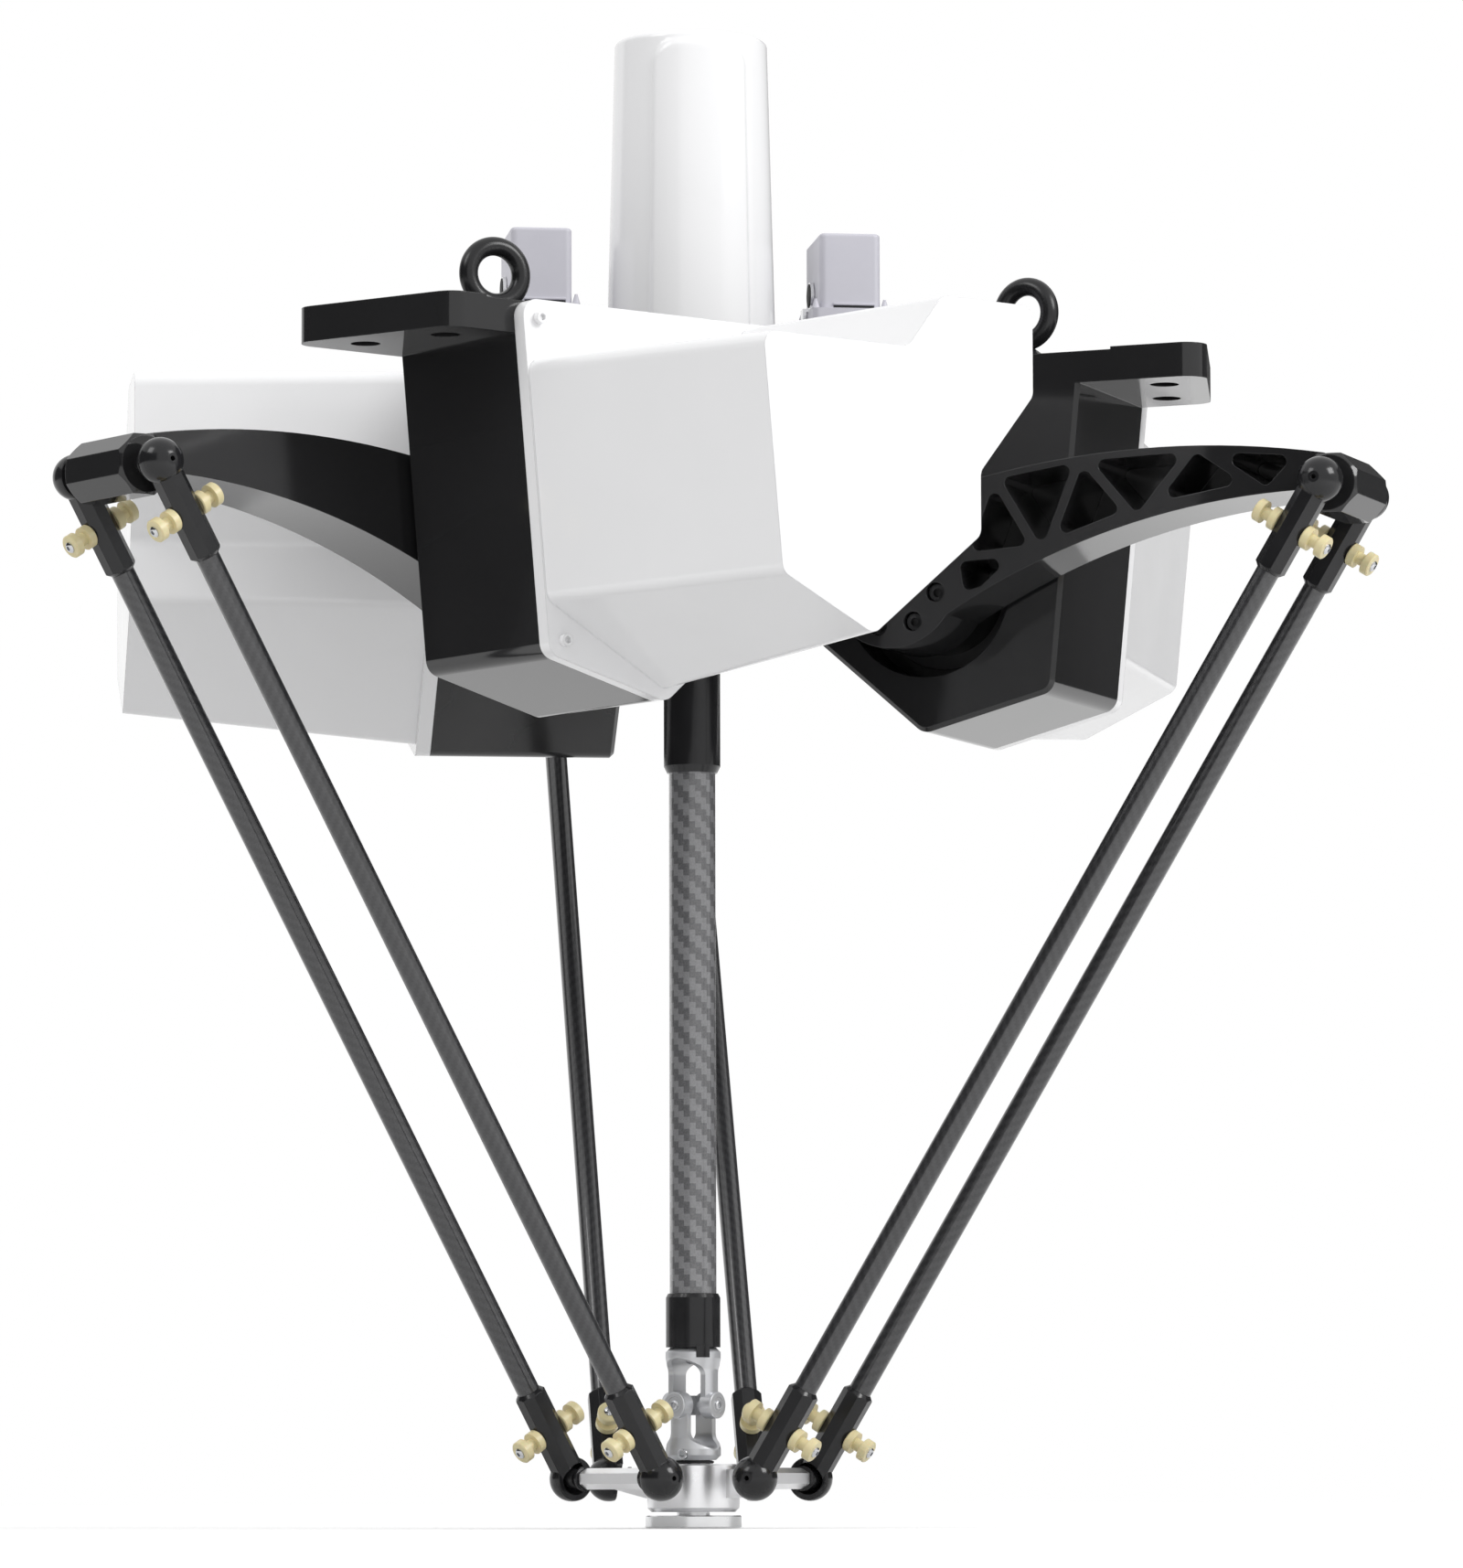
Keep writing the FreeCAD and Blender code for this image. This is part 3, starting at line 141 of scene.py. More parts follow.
def relief(tree, surface, place, grain_mm, height_mm, edge_mm):
    """Fine relief of a real grain size on top of softly rounded edges."""
    edge = add(tree, "ShaderNodeBevel", {"samples": 4, "Radius": edge_mm * MM})
    grain = add(tree, "ShaderNodeTexNoise", {"Scale": 1 / grain_mm, "Detail": 2.0},
                {"Vector": place})
    bump = add(tree, "ShaderNodeBump", {"Strength": 1.0, "Distance": height_mm * MM},
               {"Height": grain.outputs["Fac"], "Normal": edge.outputs[0]})
    tree.links.new(bump.outputs[0], surface.inputs["Normal"])


def roughness_drift(tree, surface, place, low, high, grain_mm):
    """Lets the gloss vary between two roughness values, as handled surfaces do."""
    drift = add(tree, "ShaderNodeTexNoise", {"Scale": 1 / grain_mm, "Detail": 4.0},
                {"Vector": place})
    span = add(tree, "ShaderNodeMapRange", {"From Min": 0.3, "From Max": 0.7,
                                            "To Min": low, "To Max": high},
               {"Value": drift.outputs["Fac"]})
    tree.links.new(span.outputs[0], surface.inputs["Roughness"])


print("a mid grey of #808080 is", round(srgb("#808080")[0], 3), "in linear light")


# %% [markdown]
# ## Gloss paint
# The castings and their covers are sprayed with a two-pack enamel. Sprayed paint levels to a
# mirror with a faint orange peel, waves about 3 mm across and a few microns high. The same
# recipe serves the black castings and the white covers: only pigment and peel differ.

# %% Black and white enamel
PEEL_LENGTH_MM = 3.0


def enamel(name, pale, deep, rough, gloss, peel_mm, edge_mm):
    """Glossy paint: peel_mm is the waves' height, edge_mm how far it rounds an edge."""
    made, tree, surface = new_material(name, Roughness=rough, IOR=1.5,
                                       Specular_IOR_Level=gloss)
    place = place_of(tree)
    tint(tree, surface, place, pale, deep, 90.0)
    roughness_drift(tree, surface, place, rough * 0.8, rough * 1.3, 60.0)
    relief(tree, surface, place, PEEL_LENGTH_MM, peel_mm, edge_mm)
    return made


BLACK_ENAMEL = enamel("black_casting_enamel", "#252526", "#1e1e1f", 0.09, 0.46, 0.003, 0.9)
WHITE_ENAMEL = enamel("white_cover_enamel", "#f0f0f1", "#ebebec", 0.14, 0.5, 0.003, 1.4)
print("enamels", BLACK_ENAMEL.name, WHITE_ENAMEL.name)

# %% [markdown]
# ## Carbon tube
# The rods are wound from twill carbon cloth under clear epoxy. In a 2/2 twill each tow goes
# over two and under two, and every row steps by one, which draws the diagonal stairs. Tows
# that run along the tube and tows that run round it mirror light differently, so the cloth
# is drawn as two greys, each a little uneven from fibre to fibre. The pattern needs a length
# along the tube and a length round it, and both come from the position on the piece once it is
# turned so that the tube lies along X.

# %% Where a point lies on the tube
def along_and_round(tree, place, turn, shift, pair):
    """Length along the tube and angle round it; pair is half the spread of two tubes."""
    flat = add(tree, "ShaderNodeVectorMath", {"operation": "SUBTRACT", 1: shift},
               {0: place}).outputs[0]
    for axis, angle in turn:
        flat = add(tree, "ShaderNodeVectorRotate", {"rotation_type": axis, "Angle": angle},
                   {"Vector": flat}).outputs[0]
    along, across, up = add(tree, "ShaderNodeSeparateXYZ", {}, {0: flat}).outputs
    side = add(tree, "ShaderNodeMath", {"operation": "ABSOLUTE"}, {0: across})
    side = add(tree, "ShaderNodeMath", {"operation": "SUBTRACT", 1: pair}, {0: side.outputs[0]})
    angle = add(tree, "ShaderNodeMath", {"operation": "ARCTAN2"}, {0: side.outputs[0], 1: up})
    return along, angle.outputs[0]


# %% Which tow lies on top
TWILL_REPEAT = 4


def tows_on_top(tree, along, angle, radius_mm, tow_mm):
    """1 where a tow along the tube lies on top, 0 where one round it does; and the row."""
    tows_round = round(2 * math.pi * radius_mm / tow_mm / TWILL_REPEAT) * TWILL_REPEAT
    rows = add(tree, "ShaderNodeMath", {"operation": "MULTIPLY", 1: 1 / tow_mm}, {0: along})
    columns = add(tree, "ShaderNodeMath",
                  {"operation": "MULTIPLY", 1: tows_round / (2 * math.pi)}, {0: angle})
    row = add(tree, "ShaderNodeMath", {"operation": "FLOOR"}, {0: rows.outputs[0]})
    column = add(tree, "ShaderNodeMath", {"operation": "FLOOR"}, {0: columns.outputs[0]})
    step = add(tree, "ShaderNodeMath", {"operation": "ADD"},
               {0: row.outputs[0], 1: column.outputs[0]})
    in_repeat = add(tree, "ShaderNodeMath", {"operation": "FLOORED_MODULO", 1: TWILL_REPEAT},
                    {0: step.outputs[0]})
    over = add(tree, "ShaderNodeMath", {"operation": "LESS_THAN", 1: TWILL_REPEAT / 2 - 0.5},
               {0: in_repeat.outputs[0]})
    return over.outputs[0], rows.outputs[0]


# %% Twill carbon cloth
FIBRES_MM = 1.25


def carbon_twill(name, turn, shift, radius_mm, tow_mm, pale, deep, coat, pair=0.0):
    """Twill under epoxy, for a tube whose axis lies along X after the turn."""
    made, tree, surface = new_material(name, Roughness=0.3, IOR=1.5, Coat_Weight=coat,
                                       Coat_Roughness=0.04, Coat_IOR=1.5)
    place = place_of(tree)
    along, angle = along_and_round(tree, place, turn, shift, pair)
    over, rows = tows_on_top(tree, along, angle, radius_mm, tow_mm)
    fibres = add(tree, "ShaderNodeTexNoise", {"Scale": 1 / FIBRES_MM, "Detail": 3.0},
                 {"Vector": place})
    share = add(tree, "ShaderNodeMath", {"operation": "MULTIPLY_ADD", 1: 0.75},
                {0: over, 2: fibres.outputs["Fac"]})
    shade = add(tree, "ShaderNodeMapRange", {"From Min": 0.3, "From Max": 1.4},
                {"Value": share.outputs[0]})
    two_shades(tree, surface, shade.outputs[0], deep, pale)
    pillow = add(tree, "ShaderNodeMath", {"operation": "PINGPONG", 1: 0.5}, {0: rows})
    bump = add(tree, "ShaderNodeBump", {"Strength": 0.25, "Distance": 0.02 * MM},
               {"Height": pillow.outputs[0]})
    tree.links.new(bump.outputs[0], surface.inputs["Normal"])
    return made


# %% [markdown]
# The rods' tows are 2.2 mm wide. The shaft's cloth is coarser, with tows of 4.4 mm, and its
# greys are paler: that paleness is partly painted highlight for the light its weave throws back.
# A thin clear coat of epoxy gives each tube its long highlight.

# %% The rods' and the shaft's cloth
ROD_R_MM, ROD_TOW_MM = 8.4, 2.2
SHAFT_R_MM, SHAFT_TOW_MM = 17.0, 4.4
ROD_CARBON = {}
for leg, degrees in AZIMUTHS.items():
    turns = [("Z_AXIS", -math.radians(degrees)), ("Y_AXIS", -ROD_PITCH)]
    elbow_mm = (leg_turn(leg) @ ELBOW) * 1000
    ROD_CARBON[leg] = carbon_twill("rod_twill_carbon_%d" % leg, turns, elbow_mm, ROD_R_MM,
                                   ROD_TOW_MM, "#343436", "#252527", 0.6, ROD_SPREAD * 1000)
# The shaft's pale greys are partly painted highlight, standing in for its weave's reflections.
SHAFT_CARBON_PAINTED_HIGHLIGHT = carbon_twill("shaft_twill_carbon", [("Y_AXIS", math.pi / 2)],
                            Vector((0, 0, 0)), SHAFT_R_MM, SHAFT_TOW_MM, "#828284", "#505052",
                            1.0)
print("carbon", [m.name for m in ROD_CARBON.values()], SHAFT_CARBON_PAINTED_HIGHLIGHT.name)

# %% [markdown]
# ## Black anodised rod ends and collars
# Anodising grows a thin hard oxide that takes black dye. It is a little softer in gloss than
# the enamel and shows faint turning marks, so the relief is finer and the roughness higher.
# Blackened steel and the motors' satin paint are the same recipe, each with its own grain.

# %% Anodised black
def dark_metal(name, pale, deep, rough, grain_mm, height_mm):
    """A dark satin skin on metal, with a grain of a given size and height."""
    made, tree, surface = new_material(name, Roughness=rough, IOR=1.5,
                                       Specular_IOR_Level=0.35)
    place = place_of(tree)
    tint(tree, surface, place, pale, deep, 25.0)
    roughness_drift(tree, surface, place, rough * 0.8, rough * 1.3, 15.0)
    relief(tree, surface, place, grain_mm, height_mm, 0.5)
    return made


BLACK_ANODISED = dark_metal("black_anodised_aluminium", "#242426", "#1b1b1c", 0.16, 0.8, 0.002)
BLACK_STEEL = dark_metal("blackened_steel", "#252527", "#19191a", 0.24, 0.6, 0.003)
MOTOR_PAINT = dark_metal("motor_housing_paint", "#2a2a2c", "#202022", 0.45, 0.9, 0.01)
print("dark metals", BLACK_ANODISED.name, BLACK_STEEL.name, MOTOR_PAINT.name)

# %% [markdown]
# ## Machined metal
# The tool joint, the flange and the wrist bars are milled or turned and left bare. Cutting
# leaves rings around a turned axis, closer than the eye resolves, so they are drawn less than
# a millimetre apart and very shallow. The joint's yokes and cross are blasted after cutting,
# which leaves them greyer and rougher. A metal keeps Blender's default IOR: its colour does
# the work.

# %% Turned, milled and blasted metal
def machined(name, pale, deep, rough, ring_mm, height_mm):
    """Bare metal with the rings of the cut; ring_mm sets how wide they are."""
    made, tree, surface = new_material(name, Metallic=1.0)
    place = place_of(tree)
    tint(tree, surface, place, pale, deep, 30.0)
    roughness_drift(tree, surface, place, rough * 0.9, rough * 1.1, 25.0)
    rings = add(tree, "ShaderNodeTexWave", {"wave_type": "RINGS", "rings_direction": "Z",
                                            "Scale": 0.5 / ring_mm, "Distortion": 0.3,
                                            "Detail": 1.0}, {"Vector": place})
    bump = add(tree, "ShaderNodeBump", {"Strength": 0.15, "Distance": height_mm * MM},
               {"Height": rings.outputs["Fac"]})
    tree.links.new(bump.outputs[0], surface.inputs["Normal"])
    return made


TURNED_STEEL = machined("turned_stainless_steel", "#ececed", "#e6e7e8", 0.26, 0.7, 0.001)
MILLED_ALUMINIUM = machined("milled_aluminium", "#f2f2f3", "#ebebed", 0.3, 0.9, 0.001)
YOKE_STEEL = machined("blasted_yoke_steel", "#cfd0d2", "#c2c3c6", 0.46, 0.7, 0.001)
SCREW_STEEL = machined("zinc_plated_screw_steel", "#c9cacc", "#b4b5b8", 0.2, 0.5, 0.001)
print("bare metals", [m.name for m in (TURNED_STEEL, MILLED_ALUMINIUM, YOKE_STEEL, SCREW_STEEL)])

# %% [markdown]
# ## Moulded and powder-coated pieces
# The spring spools are moulded in an unfilled engineering plastic with a warm cream colour,
# and a little light goes into it. The connector shells are zinc castings with a matt powder
# coat, whose fine sandy grain is about 0.7 mm across. Seals are black rubber, and the same
# black serves as painted shade in the strips under the connectors' lips.

# %% Cream plastic and connector coat
def moulded(name, pale, deep, rough):
    """Moulded plastic that lets a little light in."""
    made, tree, surface = new_material(name, Roughness=rough, IOR=1.5, Subsurface_Weight=0.08,
                                       Subsurface_Scale=0.002)
    place = place_of(tree)
    tint(tree, surface, place, pale, deep, 9.0)
    relief(tree, surface, place, 0.7, 0.006, 0.5)
    return made


def powder_coat(name, pale, deep, rough, grain_mm):
    """A matt skin with a fine sandy grain."""
    made, tree, surface = new_material(name, Roughness=rough, IOR=1.5)
    place = place_of(tree)
    tint(tree, surface, place, pale, deep, 30.0)
    relief(tree, surface, place, grain_mm, 0.012, 0.8)
    return made


CREAM_PLASTIC = moulded("cream_moulded_plastic", "#ded3a8", "#d3c698", 0.38)
CONNECTOR_COAT = powder_coat("connector_powder_coat", "#c4c3cb", "#bcbbc4", 0.42, 0.7)
# This black is real rubber on the seal and the rivets, and painted shade on the strips under the
# lips.
RUBBER_AND_PAINTED_SHADE = powder_coat("black_gasket_rubber", "#222223", "#1a1a1b", 0.7, 0.6)
print("plastic, coat and rubber", CREAM_PLASTIC.name, CONNECTOR_COAT.name, RUBBER_AND_PAINTED_SHADE.name)

# %% [markdown]
# ## Dressing the solids
# Each solid gets the material of the real piece. A leg's pieces share a finish, so one loop
# serves all three legs, and the pieces that exist once are listed beside it.

# %% Materials on the solids
DRESS = {
    "tower_cover": WHITE_ENAMEL, "cover_screws": WHITE_ENAMEL, "centre_hub": BLACK_ENAMEL,
    "connector_bases": CONNECTOR_COAT, "connector_hoods": CONNECTOR_COAT,
    "left_lever": TURNED_STEEL, "right_lever": TURNED_STEEL, "spin_motor": MOTOR_PAINT,
    "shaft_bearing": TURNED_STEEL, "tool_bearing": TURNED_STEEL, "drive_yoke": TURNED_STEEL,
    "drive_cross": TURNED_STEEL, "spline_shaft": TURNED_STEEL, "shaft_sleeve": BLACK_ANODISED,
    "shaft_tube": SHAFT_CARBON_PAINTED_HIGHLIGHT, "lower_collar": BLACK_ANODISED, "upper_yoke": YOKE_STEEL,
    "lower_yoke": YOKE_STEEL, "joint_cross": YOKE_STEEL, "tool_flange": TURNED_STEEL,
    "platform_hub": MILLED_ALUMINIUM, "wrist_bars": MILLED_ALUMINIUM,
    "wrist_studs": BLACK_STEEL,
}
for leg in AZIMUTHS:
    DRESS.update({
        "leg_housing_%d" % leg: BLACK_ENAMEL, "arm_%d" % leg: BLACK_ENAMEL,
        "motor_cover_%d" % leg: WHITE_ENAMEL, "gearbox_%d" % leg: MOTOR_PAINT,
        "output_flange_%d" % leg: BLACK_ANODISED, "servo_motor_%d" % leg: MOTOR_PAINT,
        "eye_bolt_%d" % leg: BLACK_STEEL, "elbow_studs_%d" % leg: BLACK_STEEL,
        "forearm_tubes_%d" % leg: ROD_CARBON[leg], "upper_rod_ends_%d" % leg: BLACK_ANODISED,
        "lower_rod_ends_%d" % leg: BLACK_ANODISED, "rod_spools_%d" % leg: CREAM_PLASTIC,
    })
for name, node in NODES.items():
    node.data.materials.clear()
    node.data.materials.append(DRESS[name])
print("dressed", len(DRESS), "of", len(NODES))

# %% [markdown]
# ## Turned small pieces
# Screws, discs and rings are all turned on a lathe, so one helper spins a profile of
# (radius, height) points about its axis. The profile carries the small chamfers that a
# lathe leaves, because those are what catch the light at this size.

# %% Spinning a profile
SHARP_DEGREES = 32


def spin(name, profile_mm, place, material, body, steps):
    """A turned piece: the profile is spun about Z and then put in place."""
    shape = bmesh.new()
    rings = []
    for k in range(steps):
        angle = 2 * math.pi * k / steps
        rings.append([shape.verts.new((r * MM * math.cos(angle), r * MM * math.sin(angle),
                                       z * MM)) for r, z in profile_mm])
    for k in range(steps):
        near, far = rings[k], rings[(k + 1) % steps]
        for j in range(len(profile_mm) - 1):
            shape.faces.new((near[j], far[j], far[j + 1], near[j + 1]))
    bmesh.ops.remove_doubles(shape, verts=shape.verts, dist=1e-6)
    bmesh.ops.recalc_face_normals(shape, faces=shape.faces)
    bmesh.ops.transform(shape, matrix=place, verts=shape.verts)
    return finish_mesh(name, shape, material, body)


def put_in_scene(name, data):
    """An object in the scene for a mesh, a lamp or a camera."""
    thing = bpy.data.objects.new(name, data)
    bpy.context.scene.collection.objects.link(thing)
    return thing


def finish_mesh(name, shape, material, body):
    """Turns the working mesh into an object that rides on its body."""
    mesh = bpy.data.meshes.new(name)
    shape.to_mesh(mesh)
    shape.free()
    mesh.polygons.foreach_set("use_smooth", [True] * len(mesh.polygons))
    mesh.set_sharp_from_angle(angle=math.radians(SHARP_DEGREES))
    piece = put_in_scene(name, mesh)
    mesh.materials.append(material)
    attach(piece, body)
    return piece


def aim(origin, direction):
    """A placement whose Z axis points in a direction."""
    return Matrix.Translation(origin) @ direction.to_track_quat("Z", "Y").to_matrix().to_4x4()


print("edges sharper than", SHARP_DEGREES, "degrees stay crisp")

# %% [markdown]
# ## Spool screws
# A button-head screw holds each spring spool to its rod end. The head sits in the spool's
# outer face and its socket is sunk in the middle, so the profile dips there. The dip is
# round: the hexagon of the real one is too small to read, and a spun profile stays simple.

# %% Screws in the spools
SCREW_HEAD = [(0, 0.4), (1.5, 0.4), (1.6, 1.9), (1.9, 2.0), (3.2, 1.6), (4.0, 0.7), (4.1, 0.0)]
ROD_END_WIDTH, SPOOL_LENGTH = 21.5, 19
SPOOL_AT = 40 * MM
SPOOL_OUT = (ROD_END_WIDTH / 2 + SPOOL_LENGTH) * MM


def rod_frame(leg, side, from_wrist):
    """The rod's own frame: ball at the origin, the rod along +X."""
    start = WRIST if from_wrist else ELBOW
    pitch = ROD_PITCH + (math.pi if from_wrist else 0)
    return (leg_turn(leg) @ Matrix.Translation(start + Vector((0, side * ROD_SPREAD, 0)))
            @ Matrix.Rotation(pitch, 4, "Y"))


count = 0
for leg in AZIMUTHS:
    for side in (1, -1):
        for from_wrist in (False, True):
            for face in (1, -1):
                count += 1
                spot = aim(Vector((SPOOL_AT, 0, face * SPOOL_OUT)), Vector((0, 0, face)))
                spin("spool_screw_%d" % count, SCREW_HEAD,
                     rod_frame(leg, side, from_wrist) @ spot, SCREW_STEEL,
                     "forearm_%d" % leg, 24)
print("spool screws", count)

# %% [markdown]
# ## Hub screws
# Eight socket cap screws clamp each arm to the gearbox's output. They sit in sunk holes round
# the hub, turned two fifths of a step from the arm, and only the head's ring and socket show.

# %% Screws in the arm hubs
CAP_SCREW = [(0, 3.0), (2.9, 3.0), (3.0, 7.4), (3.4, 7.6), (6.0, 7.6), (6.5, 7.1), (6.5, 0.0)]
HUB_SCREWS, HUB_SCREW_RING = 8, 35 * MM
HUB_SCREW_PHASE = 0.4
ARM_FACE_Y, SUNK_HOLE = -33, 12
for leg in AZIMUTHS:
    for k in range(HUB_SCREWS):
        angle = ARM_REST + math.radians((k + HUB_SCREW_PHASE) * 360 / HUB_SCREWS)
        centre = SHOULDER + HUB_SCREW_RING * Vector((math.cos(angle), 0, math.sin(angle)))
        centre.y = (ARM_FACE_Y + SUNK_HOLE) * MM
        spin("hub_screw_%d_%d" % (leg, k + 1), CAP_SCREW,
             leg_turn(leg) @ aim(centre, Vector((0, -1, 0))), BLACK_STEEL, "arm_%d" % leg,
             24)
print("hub screws", HUB_SCREWS * len(AZIMUTHS))

# %% [markdown]
# ## The tool joint's bearing caps
# Each arm of a yoke ends in a bearing for the cross, closed by a round cap with a screw in
# its middle. The cap stands slightly proud, with a turned step near its rim, so it is spun
# like the screws. Two caps ride with the tool flange's yoke, and two, a quarter turn on, ride
# with the shaft's.

# %% Bearing caps
CAP = [(0, 1.2), (1.2, 1.2), (1.4, 0.7), (1.8, 0.7), (2.1, 2.0), (2.6, 1.9), (3.3, 1.4),
       (3.6, 0.5), (5.4, 0.5), (5.6, 0.2), (5.9, 0.2), (6.1, 0.7), (8.7, 0.7), (9.2, 0.2),
       (9.2, -0.5)]
CAP_REACH = 22 * MM


def on_axis(height_mm):
    """A point on the tool's axis, so high above the flange's face."""
    return Vector((0, 0, TOOL_FACE + height_mm * MM))


JOINT = on_axis(88.5)
JOINT_TURN = 45.0


def sideways(degrees):
    """A level direction at an azimuth."""
    return Vector((math.cos(math.radians(degrees)), math.sin(math.radians(degrees)), 0))


for name, degrees, body in (("cap_lower_a", JOINT_TURN, "tool"),
                            ("cap_lower_b", JOINT_TURN + 180, "tool"),
                            ("cap_upper_a", JOINT_TURN + 90, "tool_shaft"),
                            ("cap_upper_b", JOINT_TURN - 90, "tool_shaft")):
    direction = sideways(degrees)
    spin(name, CAP, aim(JOINT + direction * CAP_REACH, direction), YOKE_STEEL, body,
         48)
print("bearing caps round", tuple(JOINT))

# %% [markdown]
# The lower yoke stands on the tool's stem, and a black lip seal closes the gap over the
# platform's bearing. Inside the upper yoke a domed screw draws the yoke to the collar, whose
# key drops over the yoke's rim. A clamp screw sits in the lower yoke's base. The key is a
# stretch of a ring, so it is built from a few steps of its own section.

# %% Seal, key and yoke screws
SEAL = [(12.2, 0.0), (14.2, 0.0), (15.0, 0.8), (15.0, 1.6), (13.4, 2.4), (12.2, 2.4)]
SEAL_AT = 46.4
DOME_SCREW = [(0, 2.2), (1.6, 2.2), (1.8, 4.2), (2.2, 4.4), (4.2, 3.6), (5.6, 1.8), (5.8, 0),
              (5.8, -2.0)]
DOME_SCREW_AT = 122.5
CLAMP_SCREW = [(0, -1.0), (1.9, -1.0), (2.1, 1.2), (3.3, 1.2), (3.8, 0.7), (3.8, -2.0)]
CLAMP_SCREW_AT, CLAMP_SCREW_OUT, CLAMP_TURN = 53.2, 20, 240.0
KEY_INNER_R, KEY_OUTER_R, KEY_HALF_WIDTH, KEY_TURN = 19.6, 20.6, 5.2, 283.6
KEY_LOW, KEY_HIGH = 123.0, 132.0

spin("lip_seal", SEAL, Matrix.Translation(on_axis(SEAL_AT)), RUBBER_AND_PAINTED_SHADE, "tool",
     64)
spin("yoke_screw", DOME_SCREW, aim(on_axis(DOME_SCREW_AT), Vector((0, 0, -1))), SCREW_STEEL,
     "tool_shaft", 32)
CLAMP_SPOT = sideways(CLAMP_TURN) * CLAMP_SCREW_OUT * MM + on_axis(CLAMP_SCREW_AT)
spin("clamp_screw", CLAMP_SCREW, aim(CLAMP_SPOT, sideways(CLAMP_TURN)), SCREW_STEEL, "tool",
     32)


def collar_key():
    """A plate bent round the tool axis, like a stretch of a tube's wall."""
    shape = bmesh.new()
    steps = 8
    half = math.asin(KEY_HALF_WIDTH / KEY_OUTER_R)
    corners = ((KEY_INNER_R, KEY_LOW), (KEY_OUTER_R, KEY_LOW), (KEY_OUTER_R, KEY_HIGH),
               (KEY_INNER_R, KEY_HIGH))
    rows = []
    for k in range(steps + 1):
        angle = math.radians(KEY_TURN) + half * (2 * k / steps - 1)
        rows.append([shape.verts.new((r * MM * math.cos(angle), r * MM * math.sin(angle),
                                      TOOL_FACE + z * MM)) for r, z in corners])
    for near, far in zip(rows, rows[1:]):
        for j in range(4):
            shape.faces.new((near[j], far[j], far[(j + 1) % 4], near[(j + 1) % 4]))
    shape.faces.new(rows[0])
    shape.faces.new(rows[-1])
    bmesh.ops.recalc_face_normals(shape, faces=shape.faces)
    finish_mesh("collar_key", shape, BLACK_ANODISED, "tool_shaft")


collar_key()
print("collar key at azimuth", KEY_TURN)

# %% [markdown]
# ## The tower's skin
# The tower is a moulded shell with a taper, a rolled top edge and a raised front panel whose
# flanks are soft. The panel could be joined on by a boolean, but its flank would then need a
# blend of its own. A grid over azimuth and height carries all three: the radius at each point is
# the taper, less the roll at the top, plus the panel's rise where the point lies on it.

# %% Tower skin
def smooth(value, low, high):
    """Runs from 0 at low to 1 at high with soft ends."""
    t = min(1.0, max(0.0, (value - low) / (high - low)))
    return t * t * (3 - 2 * t)


TOWER_FOOT_R, TOWER_HEAD_R, TOWER_ROLL = 62.3, 56.2, 4.0
PANEL_HALF, PANEL_TOP_HALF, PANEL_BELOW_TOP, PANEL_ROUND = 33.5, 30.5, 10.0, 14.0
PANEL_RISE, PANEL_FLANK = 2.4, 4.5
AROUND, ROLL_STEPS, WALL_STEPS = 480, 10, 90


def panel_share(x, y, below_top, height):
    """How much of the panel's rise a point has, from 0 on the wall to 1 on the panel."""
    if y > 0:
        return 0.0
    half = PANEL_TOP_HALF + (PANEL_HALF - PANEL_TOP_HALF) * below_top / height
    across = abs(x) - half + PANEL_ROUND
    down = PANEL_BELOW_TOP + PANEL_ROUND - below_top
    outside = math.hypot(max(across, 0), max(down, 0)) + min(max(across, down), 0)
    return 1 - smooth(outside, PANEL_ROUND, PANEL_ROUND + PANEL_FLANK)


def tower_radius(fall, height):
    """The wall's radius a fall below the top: the taper, less the roll of the top edge."""
    taper = TOWER_HEAD_R + (TOWER_FOOT_R - TOWER_HEAD_R) * fall / height
    lean = max(0.0, 1 - fall / TOWER_ROLL)
    return taper - TOWER_ROLL * (1 - math.sqrt(max(0.0, 1 - lean * lean)))


def tower_skin():
    """The tower's shell as a grid of rings from the top edge down to the foot."""
    low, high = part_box("tower_cover")
    foot, head = low.z / MM, high.z / MM
    height = head - foot
    shape = bmesh.new()
    rings = []
    falls = [TOWER_ROLL * (1 - math.cos(math.pi / 2 * k / ROLL_STEPS))
             for k in range(ROLL_STEPS + 1)]
    falls += [TOWER_ROLL + (height - TOWER_ROLL) * k / WALL_STEPS
              for k in range(1, WALL_STEPS + 1)]
    for fall in falls:
        base = tower_radius(fall, height)
        ring = []
        for k in range(AROUND):
            azimuth = 2 * math.pi * k / AROUND
            x, y = base * math.cos(azimuth), base * math.sin(azimuth)
            swell = 1 + PANEL_RISE * panel_share(x, y, fall, height) / base
            ring.append(shape.verts.new((x * swell * MM, y * swell * MM, (head - fall) * MM)))
        rings.append(ring)
    crown = shape.verts.new((0, 0, head * MM))
    for k in range(AROUND):
        after = (k + 1) % AROUND
        shape.faces.new((crown, rings[0][k], rings[0][after]))
        for upper, lower in zip(rings, rings[1:]):
            shape.faces.new((upper[k], lower[k], lower[after], upper[after]))
    bmesh.ops.recalc_face_normals(shape, faces=shape.faces)
    skin = finish_mesh("tower_skin", shape, WHITE_ENAMEL, "base")
    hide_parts("tower_cover")
    return skin


TOWER_SKIN = tower_skin()
print("tower skin", len(TOWER_SKIN.data.vertices), "points")
